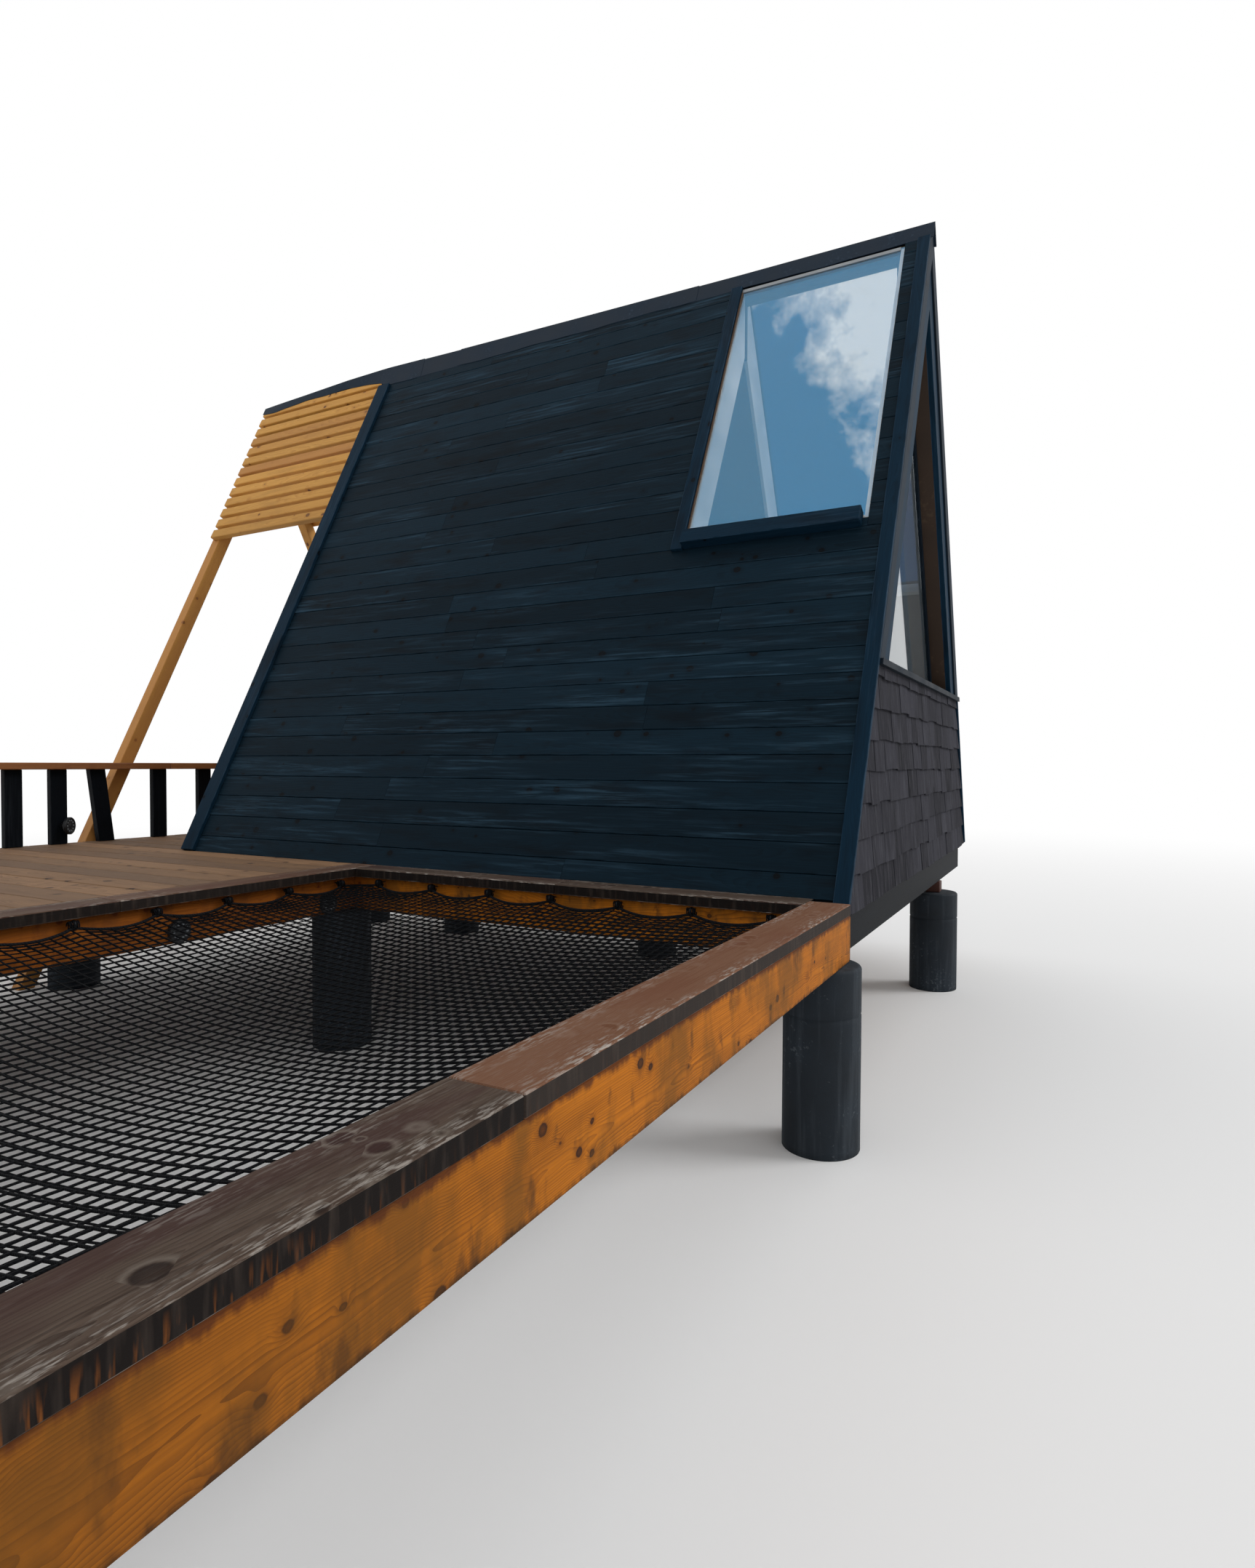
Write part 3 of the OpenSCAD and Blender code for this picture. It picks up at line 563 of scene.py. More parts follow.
new_pine = two_batches("clear_coated_pine", "#d6a04e", "#b2762c", "#5a3418", "#b0743e",
                       share=0.3, knots=0.25, vary=0.12, clouds=0.2)
deck_pine = two_batches("brown_oiled_deck_pine", "#8a6a4c", "#5f432c", "#2e1e14", "#5a4534",
                        vary=0.2, roughness=0.8)
rail_pine = two_batches("red_brown_rail_pine", "#b87a44", "#80492a", "#33190d", "#7a4a2a",
                        vary=0.15, roughness=0.6)
door_pine = two_batches("oiled_door_pine", "#a5763f", "#7a5226", "#3a2110", "#8a5c30",
                        vary=0.12, roughness=0.5)
floor_pine = wood("planed_floor_pine", "#a5763f", "#835626", "#40260f", vary=0.15)[0]
block_wood = wood("red_brown_stained_block", "#47261d", "#311813", "#1b0d09", vary=0.15)[0]
print("pines ready")

# %% [markdown]
# The gable shingles are split cedar under a grey-black stain. Splitting leaves deep furrows
# along the grain, so their relief is twice that of a sawn board, and the stain has gone dull.

# %% Split cedar
shingle_wood, tree, shader, grain, colour = wood("stained_split_cedar", "#34343a", "#222227", "#111214",
                                                 rings=0.5, knots=0.02, vary=0.32, roughness=0.85,
                                                 bump=0.0012, gloss=0.04, clouds=0.6)
dusty = patches(tree, grain, (6, 40, 40), 0.5, 0.75, 0.4, 4.0)
colour = add(tree, "Mix", {"data_type": "RGBA", 0: dusty, 6: colour, 7: "#54545a"}, 2)
tree.links.new(colour, shader.inputs["Base Color"])
print("cedar ready")

# %% [markdown]
# The beams round the net are fir under an orange oil. They have many small round knots, fine
# rings, and olive brown clouds where water has stood. The beam across the bay from the cabin's
# gable is painted redder and darker, as painted shade for the shade of the bay, and all beams
# are darker towards the front. Under the cap a thin ragged dark line runs along the top, partly
# drips of soaked finish and partly painted shade under the cap, and a thin dark band runs along
# the bottom edge.

# %% Oiled fir beams
FAR_BEAM_X = BAY_LEFT + BEAM_T - MID_X


def water_marked(name):
    material, tree, shader, _, colour = wood(name, "#b86c12", "#6c3a08", "#28120a", rings=0.95, knots=1.0,
                                             knot_size=0.008, vary=0.06, gloss=0.12, clouds=0.2)
    spot = add(tree, "TexCoord", None, 3)
    x, y, z = add(tree, "SeparateXYZ", {0: spot}).node.outputs
    ragged = patches(tree, spot, (55, 55, 8), 0.3, 0.75, 0.014)
    above = add(tree, "Math", {"operation": "ADD", 0: z, 1: ragged})
    below = add(tree, "Math", {"operation": "SUBTRACT", 0: z, 1: ragged})
    layers = [(patches(tree, spot, (9, 9, 5), 0.45, 0.62, 0.6, 4.0, 0.6), "#5e3f15"),
              (patches(tree, spot, (20, 20, 9), 0.58, 0.70, 0.65, 4.0, 0.6), "#3f2914")]
    for where, none, full, most, over in (
            # Painted shade on the far beam, by x; by y the beams are darker towards the front.
            (x, FAR_BEAM_X + 0.3, FAR_BEAM_X, 0.6, "#6a3413"), (y, -1.7, -2.5, 0.5, "#5a3610"),
            # A ragged dark band under the cap: drips of soaked finish, and painted shade under the cap.
            (above, BEAM_TOP - 0.006, BEAM_TOP + 0.004, 0.85, "#4a230c"),
            # A thin dark band along the bottom edge.
            (below, BEAM_BOTTOM + 0.006, BEAM_BOTTOM - 0.006, 0.85, "#33200f")):
        layers.append((add(tree, "MapRange", {"Value": where, "From Min": none, "From Max": full,
                                              "To Max": most}), over))
    for amount, over in layers:
        colour = add(tree, "Mix", {"data_type": "RGBA", 0: amount, 6: colour, 7: over}, 2)
    tree.links.new(colour, shader.inputs["Base Color"])
    return material


fir_beam = water_marked("orange_oiled_fir")
print("fir ready")

# %% [markdown]
# The cap boards were left without oil. Their top is grey-brown, with dark checks along the grain,
# reddish dark clouds, knots that stand in a pale ring, and short grey flecks where feet have
# scuffed the outer edge. Some lengths are redder on top, by their tone. This function makes the
# colour of such a top.

# %% The worn top of a cap
CAP_KNOTS, CAP_KNOT = 0.3, 0.015


def worn_top(tree, grain, tone, colour):
    knot_at = knot_pattern(tree, grain, CAP_KNOTS, CAP_KNOT)
    inner = add(tree, "MapRange", {"Value": knot_at, "From Min": 1.0, "From Max": 1.3})
    outer = add(tree, "MapRange", {"Value": knot_at, "From Min": 1.8, "From Max": 1.35, "To Max": 0.28})
    worn = add(tree, "MapRange", {"Value": from_edges(tree)[0], "From Min": 0.045, "From Max": 0.002,
                                  "To Min": 0.06, "To Max": 0.85})
    for flecks in (patches(tree, grain, (30, 190, 190), 0.50, 0.62, 1.0, 3.0, 0.6),
                   patches(tree, grain, (2.0, 8, 8), 0.38, 0.58)):
        worn = add(tree, "Math", {"operation": "MULTIPLY", 0: worn, 1: flecks})
    checks = patches(tree, grain, (4, 170, 170), 0.56, 0.68, 0.6, 2.0)
    clouds = patches(tree, grain, (2.6, 10, 10), 0.52, 0.64, 0.65, 4.0)
    pale_ring = add(tree, "Math", {"operation": "MULTIPLY", 0: inner, 1: outer})
    redder = add(tree, "MapRange", {"Value": tone, "From Min": 0.4, "From Max": 0.9, "To Max": 0.45})
    for amount, over in ((checks, "#2c1f17"), (clouds, "#3b2623"), (pale_ring, "#8f857a"),
                         (redder, "#8a5a3e"), (worn, "#a8a199")):
        colour = add(tree, "Mix", {"data_type": "RGBA", 0: amount, 6: colour, 7: over}, 2)
    return colour


print("worn top ready")

# %% [markdown]
# The finish has run down over the narrow sides of the caps and turned nearly black there. On the
# first stretch the bare orange-brown wood shows between the runs, low down. The lengths that are
# redder on top are greyer here. A face counts as a side where it stands upright.

# %% Worn caps with dripped sides
def dripped_cap(name):
    material, tree, shader, grain, colour = wood(name, "#584a40", "#362a23", "#221712", rings=0.95,
                                                 knots=CAP_KNOTS, knot_size=CAP_KNOT, vary=0.12,
                                                 roughness=0.75, gloss=0.12, clouds=0.5)
    tone = add(tree, "Attribute", {"attribute_name": "tone"}, 2)
    spot = add(tree, "TexCoord", None, 3)
    _, y, z = add(tree, "SeparateXYZ", {0: spot}).node.outputs
    bare = add(tree, "MapRange", {"Value": z, "From Min": DECK - 0.006, "From Max": DECK - 0.032})
    first = add(tree, "MapRange", {"Value": y, "From Min": -2.10, "From Max": -2.40, "To Min": 0.08})
    for share in (patches(tree, spot, (110, 110, 12), 0.54, 0.66, 0.8, 3.0), first):
        bare = add(tree, "Math", {"operation": "MULTIPLY", 0: bare, 1: share})
    greyer = add(tree, "MapRange", {"Value": tone, "From Min": 0.4, "From Max": 0.9, "To Max": 0.7})
    dusty = patches(tree, spot, (60, 60, 8), 0.5, 0.72, 0.3)
    side = "#130e0c"
    for amount, over in ((greyer, "#332c28"), (bare, "#74431b"), (dusty, "#53473f")):
        side = add(tree, "Mix", {"data_type": "RGBA", 0: amount, 6: side, 7: over}, 2)
    upright = add(tree, "SeparateXYZ", {0: add(tree, "NewGeometry", None, 1)}).node.outputs[2]
    steep = add(tree, "Math", {"operation": "ABSOLUTE", 0: upright})
    on_side = add(tree, "MapRange", {"Value": steep, "From Min": 0.60, "From Max": 0.50})
    top = worn_top(tree, grain, tone, colour)
    colour = add(tree, "Mix", {"data_type": "RGBA", 0: on_side, 6: top, 7: side}, 2)
    tree.links.new(colour, shader.inputs["Base Color"])
    return material


worn_cap = dripped_cap("weathered_cap_board")
print("caps ready")

# %% [markdown]
# The other coats lie on hard, even things: brushed paint on concrete, baked paint on steel, and
# enamel on the window jambs. Each has faint clouds in its tone, a fine tooth, and worn specks
# where the ground shows through. These pieces lie in the frame's own axes, so their patterns
# use the object's coordinates, which are metres.

# %% Painted things
def painted(name, code, speck, specks, roughness, size=60, bump=0.0004, gloss=0.3, mottle=0.15, **settings):
    """An even coat. `size` is how many grains of its tooth there are in a metre."""
    material, tree, shader = coat(name, roughness, gloss, **settings)
    spot = add(tree, "TexCoord", None, 3)
    fine = add(tree, "TexNoise", {"Vector": spot, "Scale": size, "Detail": 4.0, "Roughness": 0.7})
    broad = add(tree, "TexNoise", {"Vector": spot, "Scale": 5.0, "Detail": 4.0})
    uneven, tone, dull = (
        add(tree, "MapRange", {"Value": broad, "From Min": 0.3, "From Max": 0.7,
                               "To Min": least, "To Max": most})
        for least, most in ((0.8, 1.15), (1 - mottle, 1 + mottle), (roughness - 0.08, roughness + 0.08)))
    worn = add(tree, "Math", {"operation": "MULTIPLY", 0: fine, 1: uneven})
    worn = add(tree, "MapRange", {"Value": worn, "From Min": 0.61, "From Max": 0.68, "To Max": specks})
    colour = add(tree, "Mix", {"data_type": "RGBA", 0: worn, 6: code, 7: speck}, 2)
    colour = add(tree, "HueSaturation", {"Color": colour, "Value": tone})
    tooth = add(tree, "Bump", {"Height": fine, "Strength": 0.5, "Distance": bump})
    for output, socket in ((colour, "Base Color"), (dull, "Roughness"), (tooth, "Normal")):
        tree.links.new(output, shader.inputs[socket])
    return material


black_concrete = painted("black_painted_cast_concrete", "#1e252c", "#565b60", 0.4, 0.75, size=70,
                         bump=0.0016, gloss=0.22, mottle=0.35)
steel_flashing = painted("baked_paint_steel_sheet", "#182634", "#3a4a5b", 0.25, 0.5, size=40,
                         bump=0.0006, gloss=0.1)
white_jamb = painted("white_enamelled_jamb", "#e3e5e6", "#a5a7a6", 0.25, 0.45, size=30)
framing = painted("raw_sawn_framing", "#7d6a4c", "#5d4c34", 0.5, 0.8, size=20)
dark_paint = painted("blue_black_stained_frame", "#131c25", "#3d4853", 0.25, 0.55, size=80, gloss=0.05)
brown_lining = painted("brown_stained_plywood", "#3a2c22", "#574636", 0.35, 0.6, size=25)
black_lining = painted("black_stained_plywood", "#26262a", "#4c4c50", 0.3, 0.6)
oiled_frame = painted("oiled_pine_frame", "#a5763f", "#7a5226", 0.4, 0.5, size=30)
black_steel = painted("blackened_steel_screw_eye", "#26272a", "#5c5c60", 0.5, 0.4, size=300, Metallic=0.8)
bright_steel = painted("brushed_steel_handle", "#a9abad", "#7f8184", 0.4, 0.35, size=400, bump=0.0001,
                       Metallic=1.0)
mill_strip = painted("mill_finish_aluminium_strip", "#8d9194", "#6e6c68", 0.4, 0.45, size=200,
                     bump=0.0002, Metallic=0.6)
timber_bead = painted("brown_stained_timber_bead", "#54402f", "#7a6450", 0.4, 0.6, size=120)
lamp_body = painted("black_moulded_lamp_body", "#1a1c1f", "#3b3d40", 0.3, 0.4, size=200)
lamp_bead = painted("clear_moulded_lens", "#6b7075", "#9aa0a4", 0.3, 0.25, size=300, bump=0.0001, gloss=0.4)
print("painted things ready")

# %% [markdown]
# The concrete of the piers was cast in paper tubes, in two lifts. Its paint is dull and cloudy.
# Water has run down it, so faint upright streaks lie over the clouds. The finish adds them to
# the painted concrete.

# %% Streaks on the concrete
tree = black_concrete.node_tree
shader = tree.nodes["Principled BSDF"]
before = shader.inputs["Base Color"].links[0].from_socket
streak = patches(tree, add(tree, "TexCoord", None, 3), (26, 26, 1.6), 0.48, 0.75, 0.45, 4.0, 0.6)
colour = add(tree, "Mix", {"data_type": "RGBA", 0: streak, 6: before, 7: "#4a5158"}, 2)
tree.links.new(colour, shader.inputs["Base Color"])
print("streaks added")

# %% [markdown]
# The panes are float glass: flat, clear, and polished by the way it is made, so the roughness
# is zero. On the near skylight a blue mirror shader is mixed with the glass and throws back
# part of the light as a cold blue: a painted reflection of the blue sky. Under it the glass
# lets the rest through a little warmer and itself reflects little, so its index is low. The
# pane of the far skylight has a painted reflection of sky and clouds in its colour: deep blue
# in clouds, and paler towards the gable. The light from the lamps passes through a pane only
# if the pane is see-through for shadow rays, so its alpha is low for those rays alone.

# %% Glass
PAINTED_SKY_BLUE = "#4fade4"


def glazing(name, deep, pale, index, sky_mirror_share=0.0):
    """Float glass, deep to pale in clouds: a painted reflection of sky and clouds.
    The last argument is the share of a blue mirror shader, a painted reflection of the blue sky.
    """
    material, tree, shader = coat(name, 0.0, 0.5, IOR=index, Transmission_Weight=0.94)
    spot = add(tree, "TexCoord", None, 3)
    # The colour is a painted reflection of sky and clouds: a ramp towards the gable, broken by clouds.
    along = add(tree, "Mapping", {"Vector": spot, "Location": (-1.05, 0, -1.035), "Scale": (0.75, 0, 0.45)})
    sides = add(tree, "SeparateXYZ", {0: along}).node.outputs
    painted_sky_ramp = add(tree, "Math", {"operation": "ADD", 0: sides[0], 1: sides[2]})
    cloud = add(tree, "TexNoise", {"Vector": spot, "Scale": 3.5, "Detail": 8.0, "Roughness": 0.65})
    mixed = add(tree, "Math", {"operation": "MULTIPLY_ADD", 0: cloud, 1: 1.2, 2: painted_sky_ramp})
    amount = add(tree, "MapRange", {"Value": mixed, "From Min": 1.30, "From Max": 1.55})
    colour = add(tree, "Mix", {"data_type": "RGBA", 0: amount, 6: deep, 7: pale}, 2)
    tree.links.new(colour, shader.inputs["Base Color"])
    shadow_ray = add(tree, "LightPath", None, 1)
    blocked = add(tree, "MapRange", {"Value": shadow_ray, "To Min": 1.0, "To Max": 0.12})
    tree.links.new(blocked, shader.inputs["Alpha"])
    # A blue mirror shader mixed in: a painted reflection of the blue sky.
    if sky_mirror_share:
        blue = add(tree, "BsdfPrincipled", {"Base Color": PAINTED_SKY_BLUE, "Metallic": 1.0, "Roughness": 0.0,
                                            "Alpha": blocked})
        with_sky_mirror = add(tree, "MixShader", {0: sky_mirror_share, 1: shader.outputs[0], 2: blue})
        tree.links.new(with_sky_mirror, tree.nodes["Material Output"].inputs["Surface"])
    return material


plain_glass = glazing("clear_float_glass", "#dbe6ec", "#e6eef2", 1.5)
# The near pane: glass with a painted reflection of the blue sky.
blue_reflection_glass = glazing("float_glass_with_painted_blue_reflection", "#fbf3e8", "#fdf8f1", 1.12, sky_mirror_share=0.23)
# The far pane: its colour is a painted reflection of sky and clouds.
sky_reflection_glass = glazing("float_glass_with_painted_sky_reflection", "#0c4672", "#fbf9f3", 1.15)
print("glass ready")

# %% [markdown]
# Round things are turned, as on a lathe: an outline of radius and height goes round an axis.
# The Screw modifier could do that too, but here the points are also nudged on the way, for the
# slight waves of cast concrete and the spiral seam that the paper tube leaves in it. The seam
# climbs by `SEAM_RISE` in one turn. Points nearer the axis than `FLAT_R` are on the flat top,
# which stays plain.

# %% Turning
STEPS, WOBBLE = 72, 0.0006
SEAM, SEAM_ANGLE, SEAM_RISE = 0.0006, 0.12, 0.32
TUBE_R, FLAT_R = 0.126, 0.100


def turned(name, outline, centres, material, nodes):
    """Turns an outline of (radius, height) points round upright axes, as one smooth mesh."""
    lathe = bmesh.new()
    for cx, cy in centres:
        rings = []
        for radius, height in outline:
            ring = []
            for k in range(STEPS):
                angle = 2 * math.pi * k / STEPS
                spiral = (height / SEAM_RISE * 2 * math.pi + angle) % (2 * math.pi)
                r = radius - (SEAM if spiral < SEAM_ANGLE and radius > FLAT_R else 0.0)
                r += WOBBLE * math.sin(3 * angle + cx) * math.sin(7 * height + cy) if radius > FLAT_R else 0
                spot = level(cx + r * math.cos(angle), cy + r * math.sin(angle), height)
                ring.append(lathe.verts.new(spot))
            rings.append(ring)
        for lower, upper in zip(rings, rings[1:]):
            for k in range(STEPS):
                after = (k + 1) % STEPS
                lathe.faces.new((lower[k], lower[after], upper[after], upper[k]))
        lathe.faces.new(rings[0][::-1])
        lathe.faces.new(rings[-1])
    mesh = bpy.data.meshes.new(name)
    turn_out(lathe, mesh)
    for face in mesh.polygons:
        face.use_smooth = len(face.vertices) == 4
    return finish_piece(mesh, name, material, nodes)


print("turning ready")

# %% [markdown]
# The piers are paper tubes filled with concrete and painted black. The concrete went in twice,
# so a shallow joint shows about a quarter of the way down, and the top edge is worn round.
# The piers at the far side carry short wooden blocks under the floor.

# %% Piers
def pier_outline(height):
    """From the ground up: the lower pour, a shallow joint, the upper pour and a worn top edge."""
    edge, joint, start = 0.012, height * 0.74, 0.03
    heights = [height * k / 24 for k in range(18)]
    lower = [(TUBE_R, z) for z in heights if abs(z - joint) > 0.008]
    groove = [(TUBE_R - depth, joint + rise)
              for depth, rise in ((0, -0.005), (0.003, -0.001), (0.003, 0.001), (0, 0.006))]
    upper = [(TUBE_R, joint + start + (height - start - joint - edge) * k / 5) for k in range(5)]
    worn = [(TUBE_R - edge * (1 - math.cos(a)), height - edge * (1 - math.sin(a)))
            for a in (0.0, 0.4, 0.8, 1.2, math.pi / 2)]
    return lower + groove + upper + worn + [(TUBE_R - 0.04, height - 0.0005)]


NEAR_PIER_Y, FAR_PIER_Y, FRONT_PIER_Y = -HALF_BASE - 0.119, 0.687, BAY_FRONT + 0.131
PIER_X = (-0.065, BAY_LEFT + BEAM_T / 2, DECK_LEFT + 0.150)
FAR_PIER_X = (-0.065, -1.800, REAR_X + 0.090, PIER_X[2])
BLOCK, HALF_BLOCK = 0.060, 0.038
for row, top, y, places in (("near", BEAM_BOTTOM, NEAR_PIER_Y, PIER_X),
                            ("front", BEAM_BOTTOM, FRONT_PIER_Y, PIER_X),
                            ("far", BEAM_BOTTOM - BLOCK, FAR_PIER_Y, FAR_PIER_X)):
    turned(row + "_round_piers", pier_outline(top), [(x, y) for x in places], black_concrete,
           [row + "_piers"])
blocks = new_pile()
for x in FAR_PIER_X:
    board(blocks, level, (x - HALF_BLOCK, FAR_PIER_Y - HALF_BLOCK, BEAM_BOTTOM - BLOCK),
          (x + HALF_BLOCK, FAR_PIER_Y + HALF_BLOCK, BEAM_BOTTOM), along=1, edge=0.003)
make(blocks, "pier_top_blocks", block_wood, ["pier_blocks"])

# %% [markdown]
# The siding is laid from the bottom up in courses of 117 mm, each board lapping the one below,
# in runs of two or three boards with staggered ends. The lap is cut so that only a narrow
# shadow line shows between the faces. A board's profile is drawn once and drawn out along the
# cabin. The hole for a skylight is wider than the glass that shows, by a rebate of 19 mm.

# %% Siding boards
COURSE, FIRST_COURSE, SIDING_T = 0.117, 0.090, 0.019
GLASS_X0, GLASS_X1, GLASS_UP, GLASS_LEN = -0.945, -0.138, 1.675, 1.605
REBATE = 0.019
SKY_X = (GLASS_X0 - REBATE, GLASS_X1 + REBATE)
SKY_UP = GLASS_UP - REBATE


def siding_board(pile, place, x0, x1, low, high):
    """One board: front face with eased edges and a thinner lip behind the board above."""
    gap, ease, lip, slack = 0.003, 0.002, 0.008, 0.0003
    outline = [(low, -SIDING_T), (low, -ease), (low + ease, 0.0),
               (high - gap - ease, 0.0), (high - gap, -ease), (high - gap, -lip),
               (high - slack, -lip), (high - slack, -SIDING_T)]
    prism(pile, place, outline, x0 + 2 * slack, x1 - 2 * slack)


def runs(x0, x1):
    """Staggered board ends between two places."""
    cuts = [x0]
    here = x0 + rng.uniform(0.7, 2.4)
    while here < x1 - 0.5:
        cuts.append(here)
        here += rng.uniform(1.2, 2.4)
    return list(zip(cuts, cuts[1:] + [x1]))


print("siding in courses of", COURSE)

# %% [markdown]
# Each course runs the whole length of the cabin below the skylight. Beside the skylight a
# course is in two parts, and the course that the skylight's lower edge cuts is in three.

# %% Siding of both sides
def clad(place, name, node, bottom):
    pile = new_pile()
    laps = [FIRST_COURSE + COURSE * k for k in range(30)]
    edges = [bottom] + [up for up in laps if up < RIDGE_S - 0.020] + [RIDGE_S - 0.012]
    if bottom < -0.03:
        edges.insert(1, FIRST_COURSE - COURSE)
    for low, high in zip(edges, edges[1:]):
        if high <= SKY_UP:
            spans = [(REAR_X, -SHINGLE_T, low, high)]
        else:
            spans = [(REAR_X, SKY_X[0], low, high), (SKY_X[1], -SHINGLE_T, low, high)]
            if low < SKY_UP - 0.006:
                spans.append((SKY_X[0], SKY_X[1], low, SKY_UP))
        for x0, x1, a, b in spans:
            for start, end in runs(x0, x1):
                siding_board(pile, place, start, end, a, b)
    return make(pile, name, stained_siding, [node])


clad(near_side, "near_siding_boards", "near_siding", 0.0)
clad(far_side, "far_siding_boards", "far_siding", -0.050 / math.sin(SLOPE))

# %% [markdown]
# Trims are plain planed boards. They lie on the siding at both ends of each side, beside the
# skylight and under it. Each is a board in the sloping frame, with its lower end cut where the
# real one is.

# %% Trims, casings and sills
TRIM_T, CORNER_W, REAR_TRIM_W, CASING_W = 0.019, 0.057, 0.094, 0.058
TRIM_TOP = RIDGE_S - 0.100
SKIN_BOTTOM = DECK - 0.050
low_end = (SKIN_BOTTOM + 0.012 - DECK) / math.sin(SLOPE)
trims, casings, sills = new_pile(), new_pile(), new_pile()
for place, rear_low in ((near_side, 0.0), (far_side, low_end)):
    board(trims, place, (-CORNER_W, low_end, 0), (-0.0004, TRIM_TOP, TRIM_T), along=1)
    board(trims, place, (REAR_X, rear_low, 0), (REAR_X + REAR_TRIM_W, TRIM_TOP, TRIM_T), along=1)
    board(casings, place, (GLASS_X0 - 0.002 - CASING_W, GLASS_UP - 0.080, 0),
          (GLASS_X0 - 0.002, TRIM_TOP, TRIM_T), along=1)
    board(sills, place, (GLASS_X0 - 0.001, GLASS_UP - 0.073, 0),
          (GLASS_X1 - 0.002, GLASS_UP, 0.055), along=0, edge=0.003)
make(trims, "corner_trim_boards", stained_trim, ["corner_trims"])
make(casings, "skylight_casing_boards", stained_trim, ["skylight_casings"])
make(sills, "skylight_sill_boards", stained_trim, ["skylight_sills"])

# %% [markdown]
# The rake boards close the ends of the sides. They are cut level at the gable sill and upright
# at the ridge, so each is an outline in the plane of the gable, drawn out along the ridge. The
# outer band is a lighter grey, and the inner one has the stain of the trims.

# %% Rake boards
def layer(d0, d1, bottom, top_y):
    """The section of one layer of a side, level at the bottom and upright at the top."""
    corners = [(y_at(d0, bottom), bottom), (y_at(d1, bottom), bottom),
               (top_y, z_at(d1, top_y)), (top_y, z_at(d0, top_y))]
    return [in_side(y, z) for y, z in corners]


RIDGE_T, STEP_W = 0.038, 0.073
outer_band, inner_band = new_pile(), new_pile()
for place in (near_side, far_side):
    prism(outer_band, place, layer(0, STEP_W, SILL_Z, 0), -SHINGLE_T, 0, along=1)
    prism(inner_band, place, layer(STEP_W, WALL_T, SILL_Z, 0), -SHINGLE_T, -0.010, along=1)
    rear = layer(SIDING_T, WALL_T, FLOOR_TOP, -RIDGE_T / 2)
    prism(inner_band, place, rear, REAR_X, REAR_X + TRIM_T, along=1)
make(outer_band, "gable_outer_rakes", rake_stain, ["rake_boards"])
make(inner_band, "gable_inner_rakes", stained_trim, ["rake_boards"])

# %% [markdown]
# The flashing is a folded steel sheet over the ridge. It was bent on site, so its lower edge
# waves and the sheet rides up over the trims. These stations give, along the ridge, how far the
# fold stands up and how wide the leaf is.

# %% The line of the flashing
FLASHING = [(0.012, 0.003, 0.100), (-1.0, 0.008, 0.100), (-1.95, 0.020, 0.100), (-2.9, 0.034, 0.100),
            (REAR_X + 0.060, 0.046, 0.100), (REAR_X - 0.010, 0.046, 0.062), (-3.86, 0.040, 0.022),
            (-4.26, 0.022, 0.030), (-4.56, 0.010, 0.062), (PORCH_X, 0.003, 0.050)]


def flashing_at(x):
    """The rise of the fold and the width of the leaf, between the stations."""
    for (x0, r0, e0), (x1, r1, e1) in zip(FLASHING, FLASHING[1:]):
        if x >= x1:
            t = (x0 - x) / (x0 - x1)
            return r0 + (r1 - r0) * t, e0 + (e1 - e0) * t
    return FLASHING[-1][1:]


print("fold rises", flashing_at(REAR_X)[0], "at the porch")

# %% [markdown]
# The sheet is a grid of points in two skins, 1.2 mm apart, joined along their edges. It comes
# in four lengths that lap each other by 30 mm, each with small waves in its lower edge. `ACROSS`
# says where the points of a row lie, from one lower edge over the fold to the other.

# %% Ridge flashing
ACROSS = (-1, -0.66, -0.33, 0, 0.33, 0.66, 1)
SHEET_T, LAP = 0.0012, 0.030


def sheet_of_steel(name, x_start, x_end, lift):
    sheet = bmesh.new()
    steps = max(2, int((x_start - x_end) / 0.03))
    rows = []
    for k in range(steps + 1):
        x = x_start + (x_end - x_start) * k / steps
        rise, leaf = flashing_at(x)
        leaf += 0.003 * math.sin(x * 9.0) + 0.002 * math.sin(x * 23.0 + 1)
        row = []
        for h in (lift + SHEET_T, lift):
            for side in ACROSS:
                crest = RIDGE_Z + rise * (1 - abs(side)) + h / math.cos(SLOPE)
                bulge = 0.0015 * math.sin(x * 14 + side * 5) * (1 - side * side) * abs(side)
                z = crest - abs(side) * leaf * math.sin(SLOPE) + bulge
                row.append(sheet.verts.new(level(x, side * leaf * math.cos(SLOPE), z)))
        rows.append(row)
    n = len(ACROSS)
    loop = list(range(n)) + list(range(2 * n - 1, n - 1, -1))
    for a, b in zip(rows, rows[1:]):
        for i, j in zip(loop, loop[1:] + loop[:1]):
            sheet.faces.new((a[i], a[j], b[j], b[i]))
    for row in (rows[0], rows[-1]):
        for i in range(n - 1):
            sheet.faces.new((row[i], row[i + 1], row[n + i + 1], row[n + i]))
    mesh = bpy.data.meshes.new(name)
    turn_out(sheet, mesh)
    return finish_piece(mesh, name, steel_flashing, ["ridge_flashing"])


STARTS = (0.012, -1.25, -2.87, -3.2, PORCH_X)
for number, (a, b) in enumerate(zip(STARTS, STARTS[1:])):
    sheet_of_steel("ridge_flashing_" + str(number + 1), a + (LAP if number else 0.0), b,
                   0.0002 + 0.0014 * (number % 2))

# %% [markdown]
# The gable and the rear wall need outlines cut to the slope. This small cutter keeps the part
# of an outline on one side of a line, as a saw follows a pencil line, and `within_slopes` saws
# along both slopes at a given depth in the sides.

